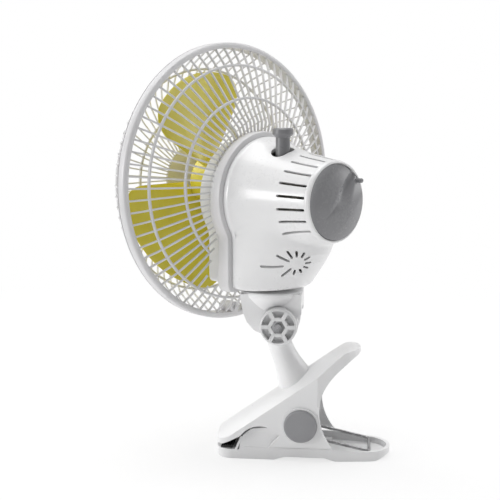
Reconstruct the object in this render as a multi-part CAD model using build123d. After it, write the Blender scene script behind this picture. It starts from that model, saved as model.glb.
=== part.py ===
from build123d import *
import os
from math import acos, asin, atan2, cos, degrees, hypot, pi, radians, sin, sqrt

# Clip fan, millimetres, +Z up. The origin is on the ground under the swivel axis, the clip's
# jaws point to -Y and its handles to +Y. The head is drawn facing -Y about its own swivel axis.

# ---- placing of the main groups ----
AXIS_H = 182.5          # fan axis above the ground
HEAD_TURN = -40.0       # rest angle of the head on its swivel, degrees
RIM_SET = 43.5          # guard's widest plane in front of the swivel axis
PIVOT_Y = 21.1          # clip's pivot pin behind the swivel axis
PIVOT_Z = 25.0          # clip's pivot pin above the ground
TILT_Y = 5.9            # tilt bolt behind the swivel axis
TILT_Z = AXIS_H - 91.5  # tilt bolt above the ground: so far under the fan axis

# ---- clearances ----
FIT = 0.05              # seat of a pin or screw that doesn't turn
RUN = 0.08              # running clearance, radial
GAP = 0.3               # gap between parts that move past each other
SEAM = 0.2              # gap between two shells

# ---- guards ----
GUARD_R = 95.0
RIM_WALL = 4.0
REAR_RIM = 6.5
FRONT_RIM = 5.0
RIB_COUNT = 72
RIB_W = 1.3
RIB_T = 2.0
HOOP_W = 1.8
HOOP_A_R = 57.6
HOOP_B_R = 79.5
HOOP_A_OPEN = 80.0      # degrees that the inner hoop leaves open under the neck
REAR_BOWL = [(42, 29.6), (49, 26.0), (57.6, 22.0), (68, 17.6), (79.5, 12.2), (88, 6.9), (94, 2.6)]
FRONT_BOWL = [(94, -2.6), (91, -5.0), (87, -13.2), (80, -22.8), (68, -30.6), (55, -34.4), (40, -37.0), (22, -38.0)]
BADGE_R = 22.0
CENTRE_RING = 2.5
FRONT_HOOP_R = 78.0
FRONT_HOOP_IN_R = 50.0
GUARD_SCREW_D = 3.0
LUG_R = 4.0

# ---- housing ----
DROP = 7.7              # housing's round part is centred this far under the fan axis
ROUND_R = 39.6
NECK_W = 63.6
NECK_LOW = -67.5        # underside of the neck
FLARE_R = 18.0          # fillet between round part and neck
NECK_CORNER_R = 4.0
SHELL_T = 2.0
COLLAR_OUT = 3.5        # guard's collar stands proud of the housing's outline
COLLAR_LOW = -69.3
COLLAR_FRONT = 33.5
SEAM_AT = 38.2
FRONT_SHELL_IN = 2.2    # front housing lies inside the rear one's outline
FRONT_SHELL_AT = 10.0
REAR_END = 98.0
CONE_MID_AT, CONE_MID_R = 69.0, 31.2
CONE_END_R = 26.3
NECK_DEPTHS = [(-7.7, 47), (-24, 54), (-36, 53.5), (-48, 46), (-58, 37.5), (-67.5, 28)]
VENT_COUNT = 22
VENT_FROM, VENT_TO = 76.0, 97.0
VENT_W = 1.6
VENT_SPAN = (-57.0, 237.0)
SUN_X, SUN_AT, SUN_Z = 13.8, 79.7, -47.6
SUN_NORMAL = (0.48, 0.68, -0.56)
SUN_W = 1.5
BEZEL_T = 1.4
SCREW_R = 1.5
SCREW_HEAD_R = 2.9
SCREW_HEAD_T = 2.0
POST_R = 4.0
POSTS = [(30.6, -12.0), (-30.6, -12.0), (24.0, -56.5), (-24.0, -56.5)]
SPIGOT = 2.3
INLET_AT, INLET_Z, INLET_R = 48.0, -52.0, 4.0
INLET_X = -31.9
SWITCH_Z = -DROP
PULL_SLOT = (17.0, 11.2)
SWITCH_NECK_R = 4.0
WASHER_R = 8.0
WASHER_Z = -63.0
WASHER_T = 1.0
SWIVEL_NUT_AF = 13.0
SWIVEL_NUT_T = 4.0

# ---- motor ----
SHAFT_R = 3.0
STATOR_R = 25.0
STATOR_BORE = 13.0
SLOT_RING_R = 17.5
STATOR_AT = (21.0, 33.0)
ROTOR_R = 12.6
BRACKET_R = 26.0
BEARING_R = 6.0
PLATE_AT = (15.0, 36.0)
PLATE_T = 3.0
POCKET_L = 3.0
TIE_R = 22.5
TIE_SCREW_R = 1.3

# ---- fan ----
BLADE_COUNT = 3
BLADE_R = 76.0
BLADE_SPAN = 88.0
BLADE_T = 1.8
BLADE_FROM, BLADE_TO = -3.0, -23.0
BLADE_CORNER_R = 20.0
HUB_R = 20.0
HUB_FRONT, HUB_REAR = -26.0, -2.0
SHAFT_FRONT = -29.0
WORM_AT = (46.0, 72.0)
FIRST_BLADE = 75.0

# ---- gearbox ----
WORM_R = 1.8
CLUTCH_X, CLUTCH_AT = 9.0, 61.7
WHEEL_TEETH, WHEEL_R = 28, 7.0
PINION_TEETH, PINION_R = 8, 4.0
CRANK_TEETH, CRANK_R = 28, 14.0
CRANK_PIN_R = 6.4
SPINDLE_R = 1.5
CASE_T = 1.6
CASE_X = (-25.7, 18.2)
CASE_WALL = [(35.0, 43.0), (25.6, 80.0)]    # round outline that the case follows: radius, depth
CASE_AT = (43.5, 79.0)
CASE_Z = (-20.0, 8.0)
COVER_T = 2.4
WHEEL_Z = (-2.0, 2.0)
TRAIN_Z = (-16.0, -11.0)
CRANK_X = -9.0
CRANK_HUB_R = 3.0
CRANK_DISC_R = 8.6
CRANK_DISC_Z = (-24.0, -20.4)
CRANK_PIN_T = 1.6
LINK_Z = (-46.0, -44.0)
ARM_L = 10.0
ARM_HALF = 2.5
ARM_T = 2.6
KNOB_REST = 11.0

# ---- knobs ----
PULL_STEM_R = 4.65
PULL_DISC_R = 6.75
PULL_TOP = 38.0
SPEED_R = 24.0
SPEED_END = 106.0
DOME_H = 4.6            # rise of the speed knob's dome
GROOVE_R = 26.0         # thumb groove across the dome
GROOVE_DEEP = 5.6
GROOVE_SET = 8.4        # groove's middle off the knob's centre
GROOVE_TURN = 34.7      # groove's lean from level, degrees
NUB_R = 1.5
SPINDLE_OF_SWITCH_R = 2.5

# ---- yoke and post ----
DISC_R = 21.0
DISC_TOP = -70.3        # top of the yoke under the fan axis
YOKE_W = 30.0
CHEEK_GAP = 18.2        # slot between the yoke's cheeks
CHEEK_R = 12.6
FRUSTUM_LOW = TILT_Z + 7.0      # where the yoke starts to widen into its table
DECK = TILT_Z + 9.8             # top of the slot between the cheeks
SWIVEL_R = 5.0
SWIVEL_TOP = -43.0
HEAD_SEAT_R = 7.0       # shoulder of the swivel post under the housing
BOLT_R = 2.5
TILT_KNOB_R = 12.2
TILT_KNOB_X = (15.3, 24.0)
NUT_AF = 8.0
NUT_T = 4.0
BARREL_R = 9.0

# ---- clip ----
LEVER_W = 48.0          # upper lever across
HANDLE_W = 38.0
SLOPE = 35.3            # slope of the upper lever's back, degrees
CROWN_R = 62.0
LEVER_T = 2.2
PIN_R = 3.0
CAP_R = 11.0
CAP_T = 3.0
LOWER_W = 42.0          # lower lever across
EAR_R = 9.0
WIRE_R = 1.0
COIL_R = 9.0
COIL_PITCH = 2.6
COIL_TURNS = 3
LEG_X = 14.0
SPRING_END = 45.4       # cross-bar behind the pivot
BACK_FOOT = (-47.5, 16.2)       # a point of the upper lever's edge line: behind pivot, height
TIP = -57.0
HANDLE_END = 39.0
RING_R, RING_T = 12.4, 1.2
POST_LOW, POST_HIGH = 43.0, TILT_Z - 3.0
POST_STATIONS = [(5.6, 1.0, 8.0), (5.2, 0.733, 8.5), (9.6, 0.511, 9.8), (15.5, 0.267, 12.6), (22.0, 0.0, 16.0)]
POST_SCREW_R, POST_SCREW_HEAD = 1.5, 3.0
POST_SCREW_PLACES = (-10.0, -1.0)
TOOTH = 1.0
PAD_X = 18.4
PAD_FRONT, PAD_REAR = -54.0, -44.6
JAW_TOP = 6.3
PAD_BASE = 1.2
FOOT_END = -18.0
TRAY_LIFT = 2.2
TRAY_FLOOR = 2.0
TRAY_RIM = 8.3
TONGUE_RIM = 6.5
TONGUE_END = 59.3
TONGUE_W = 36.0
CHEEK_IN = 18.3
CHEEK_OUT = 20.8
LOWER_TIP = -57.2
UPPER_LEG = (20.9, 65.0)        # end of the upper legs: behind pivot, height
SPRING_Z = 6.0                  # height of the cross-bar
BEND_R = 3.0


# ---- helpers ----
def at(depth):
    """Y of a place that lies so far behind the guard's widest plane."""
    return depth - RIM_SET


def across(depth):
    """Plane square to the fan axis: its x and y are the head's X and Z, facing forward."""
    return Plane(origin=(0, at(depth), 0), x_dir=(1, 0, 0), z_dir=(0, -1, 0))


def slab(face, front, rear):
    """Prism of a face drawn in X and Z, between two depths."""
    return extrude(across(rear) * face, rear - front)


def turned(points, drop=0.0):
    """Solid of revolution round the fan axis, or below it; points are (radius, depth)."""
    outline = Polyline(*[(r, at(d)) for r, d in points], close=True)
    return Pos(0, 0, -drop) * revolve(make_face(outline), Axis.Y)


def tube(outer, inner, front, rear, drop=0.0):
    """Ring round the fan axis."""
    return turned([(inner, front), (outer, front), (outer, rear), (inner, rear)], drop)


def disc(radius, front, rear, x=0.0, z=0.0):
    """Cylinder along the fan axis, off it by x and z."""
    return slab(Pos(x, z) * Circle(radius), front, rear)


def block(x0, x1, y0, y1, z0, z1):
    """Box between two corners."""
    size = (x1 - x0, y1 - y0, z1 - z0)
    return Pos((x0 + x1) / 2, (y0 + y1) / 2, (z0 + z1) / 2) * Box(*size)


def upright(radius, x, y, z0, z1):
    """Upright cylinder."""
    return Pos(x, y, (z0 + z1) / 2) * Cylinder(radius, z1 - z0)


def axle(radius, x0, x1, y, z):
    """Cylinder along X."""
    return Pos((x0 + x1) / 2, y, z) * Rot(0, 90, 0) * Cylinder(radius, x1 - x0)


def side_prism(points, x0, x1):
    """Prism along X of an outline in Y and Z."""
    outline = make_face(Polyline(*points, close=True))
    return extrude(Plane(origin=(x0, 0, 0), x_dir=(0, 1, 0), z_dir=(1, 0, 0)) * outline, x1 - x0)


def solid_of(shape):
    """The largest solid of a shape."""
    return max(shape.solids(), key=lambda s: s.volume)


# ---- head: outlines ----
def keyhole(grow=0.0, low=None):
    """Housing's outline seen from the front: a circle on a straight neck, joined by fillets."""
    r = ROUND_R + grow
    w = NECK_W / 2 + grow
    low = NECK_LOW - grow if low is None else low
    fillet_x = NECK_W / 2 + FLARE_R
    fillet_z = -DROP - sqrt((ROUND_R + FLARE_R) ** 2 - fillet_x ** 2)
    share = r / (ROUND_R + FLARE_R)
    meet = (fillet_x * share, -DROP + (fillet_z + DROP) * share)
    f = FLARE_R - grow
    half_turn = asin((-DROP - fillet_z) / (ROUND_R + FLARE_R)) / 2
    fillet_mid = (fillet_x - f * cos(half_turn), fillet_z + f * sin(half_turn))
    c = NECK_CORNER_R
    corner_mid = (w - c + c * cos(radians(45)), low + c - c * sin(radians(45)))
    half = Curve() + [
        Line((0, low), (w - c, low)),
        ThreePointArc((w - c, low), corner_mid, (w, low + c)),
        Line((w, low + c), (w, fillet_z)),
        ThreePointArc((w, fillet_z), fillet_mid, meet),
        ThreePointArc(meet, (r * cos(radians(25)), -DROP + r * sin(radians(25))), (0, -DROP + r)),
    ]
    return make_face(half + mirror(half, about=Plane.YZ))


def below(face, height):
    """The part of a face drawn in X and Z that lies under a height."""
    return face & Pos(0, height - 100) * Rectangle(200, 200)


def radial_start(angle):
    """Radius at which a rib leaves the collar's outer edge, for an angle from +X upwards."""
    s = sin(radians(angle))
    c = abs(cos(radians(angle)))
    ring = ROUND_R + COLLAR_OUT
    start = -DROP * s + sqrt((DROP * s) ** 2 - DROP ** 2 + ring ** 2)
    if s < 0:
        side = (NECK_W / 2 + COLLAR_OUT) / max(c, 1e-6)
        foot = -COLLAR_LOW / -s
        start = max(start, min(side, foot))
    return start


def depth_on(bowl, radius):
    """Depth of a guard's bowl at a radius."""
    for (r0, d0), (r1, d1) in zip(bowl, bowl[1:]):
        if min(r0, r1) <= radius <= max(r0, r1):
            return d0 + (d1 - d0) * (radius - r0) / (r1 - r0)
    return bowl[0][1] if abs(radius - bowl[0][0]) < abs(radius - bowl[-1][0]) else bowl[-1][1]


def rib(bowl, start, end, angle):
    """One rib of a guard: a band along the bowl's outline, standing on its edge."""
    line = [(start, depth_on(bowl, start))]
    line += sorted([(r, d) for r, d in bowl if start + 1.5 < r < end - 1.0])
    line += [(end, depth_on(bowl, end))]
    band = line + [(r, d + RIB_T) for r, d in reversed(line)]
    face = make_face(Polyline(*[(r, at(d - RIB_T / 2)) for r, d in band], close=True))
    bar = extrude(face, RIB_W / 2, both=True)
    return Rot(0, -angle, 0) * bar


def hoop(bowl, radius, open_angle=0.0):
    """One hoop of a guard, lying in the ribs, left open at the bottom where asked."""
    d = depth_on(bowl, radius)
    ring = tube(radius + HOOP_W / 2, radius - HOOP_W / 2, d - RIB_T / 2, d + RIB_T / 2)
    if open_angle:
        half = radians(open_angle / 2)
        reach = 2 * radius
        spread = reach * sin(half) / cos(half)
        wedge = Polyline((0, 0), (spread, -reach), (-spread, -reach), close=True)
        ring = ring - slab(make_face(wedge), d - RIB_T, d + RIB_T)
    return ring


def rib_angles():
    return [k * 360.0 / RIB_COUNT for k in range(RIB_COUNT)]


# ---- head: guards ----
def rear_guard():
    """Rear guard: rim, ribs, two hoops and the collar that the housing shells clamp."""
    inner = GUARD_R - RIM_WALL
    chamfer = 1.2
    rim = turned([(inner, 0), (GUARD_R, 0), (GUARD_R, REAR_RIM - chamfer),
                  (GUARD_R - chamfer, REAR_RIM), (inner, REAR_RIM)])
    rear = SEAM_AT - SEAM
    flange = keyhole(COLLAR_OUT, COLLAR_LOW) - keyhole(-FRONT_SHELL_IN + SEAM, NECK_LOW + 2 * SEAM)
    wall = keyhole(COLLAR_OUT, COLLAR_LOW) - keyhole(1.7, NECK_LOW - 0.1)
    collar = slab(flange, COLLAR_FRONT, rear) + slab(wall, COLLAR_FRONT - 6, COLLAR_FRONT)
    neck_front = depth_on(REAR_BOWL, -COLLAR_LOW) - RIB_T / 2
    collar = collar + slab(below(wall, -34), neck_front, COLLAR_FRONT)
    parts = [rim, hoop(REAR_BOWL, HOOP_A_R, HOOP_A_OPEN), hoop(REAR_BOWL, HOOP_B_R)]
    for angle in rib_angles():
        start = radial_start(angle) - 1.0
        parts.append(rib(REAR_BOWL, start, inner + 1.0, angle))
    parts.append(upright_lug(0, REAR_RIM))
    body = collar.fuse(*parts) - upright(HEAD_SEAT_R + GAP, 0, 0, COLLAR_LOW - 2, NECK_LOW)
    return body - disc(GUARD_SCREW_D / 2 + FIT, -1, REAR_RIM + 1, z=lug_z())


def lug_z():
    return -(GUARD_R - RIM_WALL - LUG_R + 1.0)


def upright_lug(front, rear):
    """Screw boss inside the rim at its lowest point."""
    return disc(LUG_R, front, rear, z=lug_z())


def front_guard():
    """Front guard: rim, ribs, two hoops and the ring that carries the badge."""
    inner = GUARD_R - RIM_WALL
    rim = turned([(inner, 0), (GUARD_R, 0), (GUARD_R - FRONT_RIM * 0.75, -FRONT_RIM),
                  (inner - 0.5, -FRONT_RIM)])
    ring_at = FRONT_BOWL[-1][1]
    centre = tube(BADGE_R + CENTRE_RING, BADGE_R - 4, ring_at - RIB_T / 2, ring_at + RIB_T / 2)
    parts = [centre, hoop(FRONT_BOWL, FRONT_HOOP_IN_R), hoop(FRONT_BOWL, FRONT_HOOP_R)]
    for angle in rib_angles():
        parts.append(rib(FRONT_BOWL, BADGE_R + 1.0, inner + 1.0, angle))
    parts.append(upright_lug(-FRONT_RIM, 0))
    body = rim.fuse(*parts)
    head_room = disc(GUARD_SCREW_D + FIT, -FRONT_RIM - 9, -FRONT_RIM, z=lug_z())
    return solid_of(body - head_room - disc(GUARD_SCREW_D / 2 + FIT, -FRONT_RIM - 1, 1, z=lug_z()))


def guard_screw():
    """Screw that holds the two guards together at the bottom."""
    z = lug_z()
    shank = disc(GUARD_SCREW_D / 2, -FRONT_RIM, REAR_RIM - 0.5, z=z)
    return shank + disc(GUARD_SCREW_D, -FRONT_RIM - 2.0, -FRONT_RIM, z=z)


def badge():
    """Bare disc in the middle of the front guard."""
    face = FRONT_BOWL[-1][1] - RIB_T / 2
    plug = BADGE_R - 4 - FIT
    return turned([(0, face - 2.6), (BADGE_R * 0.6, face - 2.2), (BADGE_R - 1, face - 1.2), (BADGE_R, face),
                   (plug, face), (plug, face + RIB_T), (plug - 1.5, face + RIB_T), (plug - 1.5, face),
                   (0, face)])


# ---- head: housing ----


def neck_body(inset):
    """Neck of the rear housing: D-shaped sections with their straight side at the seam."""
    front = at(SEAM_AT)
    sections = []
    for z, depth in NECK_DEPTHS:
        height = z + (inset if z == NECK_DEPTHS[-1][0] else 0)
        plane = Plane(origin=(0, front, height), x_dir=(1, 0, 0), z_dir=(0, 0, 1))
        w, a = NECK_W / 2 - inset, depth - inset
        sections.append(plane * (Ellipse(w, a) & Pos(0, a) * Rectangle(3 * w, 2 * a)).face())
    return loft(sections, ruled=True)


def cone_body(inset, front, rear):
    """Round part of the rear housing."""
    first, last = (ROUND_R - inset, at(SEAM_AT)), (CONE_END_R - inset, at(REAR_END))
    side = ThreePointArc(first, (CONE_MID_R - inset, at(CONE_MID_AT)), last)
    ends = Polyline(last, (0, at(REAR_END)), (0, at(SEAM_AT)), first)
    body = Pos(0, 0, -DROP) * revolve(make_face(side.edges() + ends.edges()), Axis.Y)
    return body & block(-60, 60, at(front), at(rear), -60, 60)


def vent_slots():
    """Slots that run along the cone, all round except under the neck."""
    step = 360.0 / VENT_COUNT
    slots = []
    for k in range(VENT_COUNT):
        angle = step / 2 + k * step
        if angle > VENT_SPAN[1] and angle < 360 + VENT_SPAN[0]:
            continue
        bar = block(20, 45, at(VENT_FROM), at(VENT_TO), -VENT_W / 2, VENT_W / 2)
        slots.append(Pos(0, 0, -DROP) * Rot(0, -angle, 0) * bar)
    return slots


def sunburst():
    """Ventilation rays low on the side: one long ray towards the front, the others short."""
    n = Vector(*SUN_NORMAL).normalized()
    left = Vector(cos(radians(-50)), sin(radians(-50)), 0)
    plane = Plane(origin=(SUN_X, at(SUN_AT), SUN_Z), x_dir=left - n * left.dot(n), z_dir=n)
    count = 11
    lengths = [15.0, 9.0] + [4.5] * (count - 4) + [6.0, 9.0]
    rays = []
    for k in range(count):
        start = 8.5 if k == 0 else 5.0
        bar = Pos(start + lengths[k] / 2, 0, -4.5) * Box(lengths[k], SUN_W, 15)
        rays.append(plane * Rot(0, 0, 7.6 + k * 360.0 / count) * bar)
    return rays


def rear_housing():
    """Rear shell: round cone over a tapering neck, with vents, knob slot and screw bosses."""
    lip = slab(keyhole(), SEAM_AT, SEAM_AT + 2.6)
    outer = (cone_body(0, SEAM_AT, REAR_END) + neck_body(0) + lip)
    outer = outer & block(-60, 60, at(SEAM_AT), at(REAR_END), NECK_LOW, 60)
    wall_cone = cone_body(SHELL_T, SEAM_AT, REAR_END - SHELL_T)
    hollow = wall_cone + neck_body(SHELL_T)
    hollow = hollow + slab(keyhole(-SHELL_T), SEAM_AT - 1, SEAM_AT + SPIGOT + 0.5)
    shell = outer - hollow
    bezel = tube(SPEED_R + 2.4, SPEED_R + GAP, REAR_END - 1.0, REAR_END + BEZEL_T, DROP)
    shell = shell + bezel
    bosses = []
    for x, z in POSTS:
        bosses.append(disc(POST_R - 0.6, SEAM_AT + 0.4, SEAM_AT + 9.5, x=x, z=z))
    seat = upright(WASHER_R, 0, 0, NECK_LOW + SHELL_T - 0.1, WASHER_Z - SEAM)
    bosses.append(seat & block(-20, 20, at(SEAM_AT + SPIGOT) + SEAM, 20, NECK_LOW, 0))
    shell = shell.fuse(*bosses)
    shell = shell.cut(*[disc(SCREW_R + FIT, SEAM_AT, SEAM_AT + 9, x=x, z=z) for x, z in POSTS])
    shell = shell.cut(*vent_slots())
    shell = shell.cut(*sunburst())
    pull = extrude(Pos(CLUTCH_X, at(CLUTCH_AT), 10) * SlotOverall(PULL_SLOT[0], PULL_SLOT[1]), 30)
    shell = shell - pull - disc(SWITCH_NECK_R + RUN, REAR_END - 5, REAR_END + 2, z=SWITCH_Z)
    shell = shell - upright(SWIVEL_R + RUN, 0, 0, NECK_LOW - 1, WASHER_Z)
    shell = shell - axle(INLET_R + FIT, INLET_X - 2, INLET_X + 8, at(INLET_AT), INLET_Z)
    return solid_of(shell)


def front_housing():
    """Front shell, inside the guard: holds the motor, ends in a nose round the shaft."""
    front = slab(keyhole(-FRONT_SHELL_IN), FRONT_SHELL_AT, SEAM_AT - SEAM)
    front = chamfer(front.faces().sort_by(Axis.Y)[0].edges(), 3.0)
    inset = -FRONT_SHELL_IN - SHELL_T
    front = front + slab(keyhole(-FRONT_SHELL_IN), SEAM_AT - SEAM, SEAM_AT + SPIGOT)
    front = front + turned([(0, 2), (14, 2), (15.5, 3.5), (18, FRONT_SHELL_AT), (0, FRONT_SHELL_AT)])
    hollow = slab(keyhole(inset), FRONT_SHELL_AT + SHELL_T, SEAM_AT + SPIGOT + 1)
    shell = front - hollow
    bosses = [disc(POST_R, FRONT_SHELL_AT + 1, SEAM_AT + SEAM, x=x, z=z) for x, z in POSTS]
    shell = shell.fuse(*[b & slab(keyhole(-FRONT_SHELL_IN), 0, 60) for b in bosses])
    holes = [disc(SCREW_R + FIT, 0, 60, x=x, z=z) for x, z in POSTS]
    heads = [disc(SCREW_HEAD_R + FIT, 0, FRONT_SHELL_AT + SCREW_HEAD_T + 1, x=x, z=z) for x, z in POSTS]
    shell = shell.cut(*holes, *heads, upright(SWIVEL_R + GAP, 0, 0, NECK_LOW - 1, 0))
    shell = shell - disc(SHAFT_R + 0.6, -5, 20)
    return solid_of(shell - disc(BEARING_R + 2.5 + FIT, FRONT_SHELL_AT - 5, FRONT_SHELL_AT + SHELL_T))


def housing_screws():
    """Four screws that hold the shells together, put in from the front."""
    seat = FRONT_SHELL_AT + SCREW_HEAD_T + 1
    screws = []
    for x, z in POSTS:
        head = disc(SCREW_HEAD_R, seat - SCREW_HEAD_T, seat, x=x, z=z)
        screws.append(head + disc(SCREW_R, seat, SEAM_AT + 8.5, x=x, z=z))
    return Compound(screws)


def cord_inlet():
    """Grommet in the side of the neck, without its cord."""
    y, z = at(INLET_AT), INLET_Z
    body = axle(INLET_R, INLET_X - 1, INLET_X + 5, y, z)
    flange = axle(INLET_R + 1.6, INLET_X - 1.6, INLET_X - 0.1, y, z)
    return body + flange - axle(2.7, INLET_X - 3, INLET_X + 6, y, z)


# ---- head: motor ----


def tie_places():
    return [(TIE_R * cos(radians(a)), TIE_R * sin(radians(a))) for a in (45, 135, 225, 315)]


def motor_bracket(front, pocket_front, pocket_rear, boss_front, boss_rear):
    """Motor end plate with a bearing pocket and four spacers towards the stator."""
    plate = disc(BRACKET_R, front, front + PLATE_T)
    plate = plate + disc(BEARING_R + 2.5, pocket_front, pocket_rear)
    plate = plate.fuse(*[disc(2.6, boss_front, boss_rear, x=x, z=z) for x, z in tie_places()])
    holes = [disc(TIE_SCREW_R + FIT, 0, 60, x=x, z=z) for x, z in tie_places()]
    windows = [disc(4.0, front - 1, front + PLATE_T + 1, x=15 * cos(radians(a)), z=15 * sin(radians(a)))
               for a in (0, 90, 180, 270)]
    return plate.cut(disc(BEARING_R, 0, 60), *holes, *windows)


def motor_front_bracket():
    """Front end plate of the motor."""
    return motor_bracket(PLATE_AT[0], FRONT_SHELL_AT - 4.8, PLATE_AT[0] + PLATE_T, PLATE_AT[0], STATOR_AT[0])


def motor_rear_bracket():
    """Rear end plate of the motor."""
    rear = PLATE_AT[1] + PLATE_T
    return motor_bracket(PLATE_AT[1], PLATE_AT[1], rear + POCKET_L, STATOR_AT[1], rear)


def motor_bearings():
    """The two sleeve bearings of the motor shaft."""
    bore = SHAFT_R + 0.05
    front = tube(BEARING_R, bore, PLATE_AT[0] - POCKET_L, PLATE_AT[0] + PLATE_T)
    rear = tube(BEARING_R, bore, PLATE_AT[1], PLATE_AT[1] + PLATE_T + POCKET_L)
    return Compound([front, rear])


def stator_core():
    """Laminated ring of the motor."""
    ring = tube(STATOR_R, STATOR_BORE, *STATOR_AT)
    slots = [disc(2.4, 0, 60, x=SLOT_RING_R * cos(radians(a)), z=SLOT_RING_R * sin(radians(a)))
             for a in range(0, 360, 45)]
    holes = [disc(TIE_SCREW_R + FIT, 0, 60, x=x, z=z) for x, z in tie_places()]
    return ring.cut(*slots, *holes)


def stator_windings():
    """Copper coil ends on both faces of the core, joined through its slots."""
    front = tube(19.5, 15.5, STATOR_AT[0] - 2.4, STATOR_AT[0])
    rear = tube(19.5, 15.5, STATOR_AT[1], STATOR_AT[1] + 2.4)
    rods = [disc(2.0 - FIT, STATOR_AT[0] - 1, STATOR_AT[1] + 1, x=SLOT_RING_R * cos(radians(a)),
                 z=SLOT_RING_R * sin(radians(a))) for a in range(0, 360, 45)]
    return front.fuse(rear, *rods)


def motor_screws():
    """Four screws through both end plates and the core."""
    front = PLATE_AT[0]
    screws = []
    for x, z in tie_places():
        head = disc(2.4, front - 1.6, front, x=x, z=z)
        screws.append(head + disc(TIE_SCREW_R, front, PLATE_AT[1] + PLATE_T + 1, x=x, z=z))
    return Compound(screws)


# ---- fan ----


def motor_shaft():
    """Shaft with the worm at its rear end and a flat-free front end."""
    shaft = disc(SHAFT_R, SHAFT_FRONT, WORM_AT[0])
    return shaft + disc(WORM_R, WORM_AT[0], WORM_AT[1])


def rotor_core():
    """Rotor on the shaft."""
    return tube(ROTOR_R, SHAFT_R, STATOR_AT[0] - 1, STATOR_AT[1] + 1)


def paddle(turn):
    """One broad blade: part of a screw surface, with rounded outer corners."""
    height = BLADE_FROM - BLADE_TO
    steps = 4
    inner, outer = HUB_R - 3, BLADE_R + 4
    rulings = []
    for k in range(steps + 1):
        share = k / steps
        a = radians(turn - BLADE_SPAN / 2 - 2 + (BLADE_SPAN + 4) * share)
        d = BLADE_FROM - height * (1.03 * share - 0.015)
        rulings.append((a, at(d)))
    pieces = []
    for (a0, y0), (a1, y1) in zip(rulings, rulings[1:]):
        lower = [Vector(r * cos(a), y, r * sin(a)) for r, a, y in
                 ((inner, a0, y0), (outer, a0, y0), (outer, a1, y1), (inner, a1, y1))]
        edges = [Edge.make_line(lower[0], lower[1]), Edge.make_line(lower[3], lower[2])]
        sheet = Face.make_surface_from_curves(*edges)
        up = Vector(0, -BLADE_T, 0)
        pieces.append(Solid.extrude(sheet, up))
    blade = pieces[0].fuse(*pieces[1:])
    return solid_of(blade & blade_outline(turn))


def blade_outline(turn):
    """Outline of one blade seen from the front."""
    half = radians(BLADE_SPAN / 2)
    mid = radians(turn)
    def spot(r, a):
        return (r * cos(mid + a), r * sin(mid + a))
    a_c = BLADE_CORNER_R / BLADE_R
    near = HUB_R - 2
    edges = [
        Line(spot(near, -half), spot(BLADE_R - BLADE_CORNER_R, -half)),
        ThreePointArc(spot(BLADE_R - BLADE_CORNER_R, -half), spot(BLADE_R - 0.3 * BLADE_CORNER_R, -half + 0.3 * a_c),
                      spot(BLADE_R, -half + a_c)),
        ThreePointArc(spot(BLADE_R, -half + a_c), spot(BLADE_R, 0), spot(BLADE_R, half - a_c)),
        ThreePointArc(spot(BLADE_R, half - a_c), spot(BLADE_R - 0.3 * BLADE_CORNER_R, half - 0.3 * a_c),
                      spot(BLADE_R - BLADE_CORNER_R, half)),
        Line(spot(BLADE_R - BLADE_CORNER_R, half), spot(near, half)),
        Line(spot(near, half), spot(near, -half)),
    ]
    return slab(make_face(edges), BLADE_TO - 6, BLADE_FROM + 4)


def fan_blade():
    """Fan: hub with three broad blades."""
    hub = turned([(0, HUB_FRONT + 2), (HUB_R - 6, HUB_FRONT + 2), (HUB_R, HUB_FRONT + 8), (HUB_R, HUB_REAR),
                  (HUB_R - 2, HUB_REAR), (HUB_R - 2, HUB_FRONT + 9), (8, HUB_FRONT + 9), (8, HUB_REAR - 3),
                  (0, HUB_REAR - 3)])
    blades = [paddle(FIRST_BLADE + k * 360.0 / BLADE_COUNT) for k in range(BLADE_COUNT)]
    return hub.fuse(*blades) - disc(SHAFT_R, HUB_FRONT - 1, HUB_REAR + 1)


def blade_cap():
    """Nut that holds the fan on its shaft."""
    cap = turned([(0, SHAFT_FRONT - 3), (6, SHAFT_FRONT - 3), (9, SHAFT_FRONT), (9.5, HUB_FRONT + 2),
                  (0, HUB_FRONT + 2)])
    return cap - disc(SHAFT_R, SHAFT_FRONT, HUB_FRONT + 3)


# ---- gearbox ----


def gear(teeth, pitch_r, depth, z0, z1, x, y, turn=0.0):
    """Spur gear of simple trapezoid teeth with generous backlash."""
    tip, root = pitch_r + 0.42 * depth, pitch_r - 0.58 * depth
    step = 2 * pi / teeth
    points = []
    for k in range(teeth):
        a = radians(turn) + k * step
        for r, share in ((root, -0.27), (tip, -0.12), (tip, 0.12), (root, 0.27)):
            points.append((x + r * cos(a + share * step), y + r * sin(a + share * step)))
    return extrude(Pos(0, 0, z0) * make_face(Polyline(*points, close=True)), z1 - z0)


def inside_case(grow):
    """Room of the gearbox: a box trimmed to follow the housing's round wall."""
    box = block(CASE_X[0] + grow, CASE_X[1] - grow, at(CASE_AT[0] + grow), at(CASE_AT[1] - grow),
                CASE_Z[0] + grow, CASE_Z[1] + (5 if grow else 0))
    return box & case_round(grow)


def case_round(inset):
    """Frustum inside the housing's round part."""
    (r0, d0), (r1, d1) = CASE_WALL
    return turned([(0, d0), (r0 - inset, d0), (r1 - inset, d1), (0, d1)], DROP)


def gearbox_case():
    """Open-topped case behind the motor; two pads join it to the rear end plate."""
    case = inside_case(0) - inside_case(CASE_T)
    pads = block(-12, 12, at(PLATE_AT[1] + PLATE_T), at(CASE_AT[0] + 0.5), -20, -16)
    case = case + pads
    y = at(CLUTCH_AT)
    case = case - disc(SHAFT_R + 1.0, CASE_AT[0] - 1, CASE_AT[0] + 3)
    case = case - upright(SPINDLE_R + RUN, CLUTCH_X, y, CASE_Z[0] - 1, -15)
    return case - upright(CRANK_HUB_R + RUN, CRANK_X, y, CASE_Z[0] - 1, -15)


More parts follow.
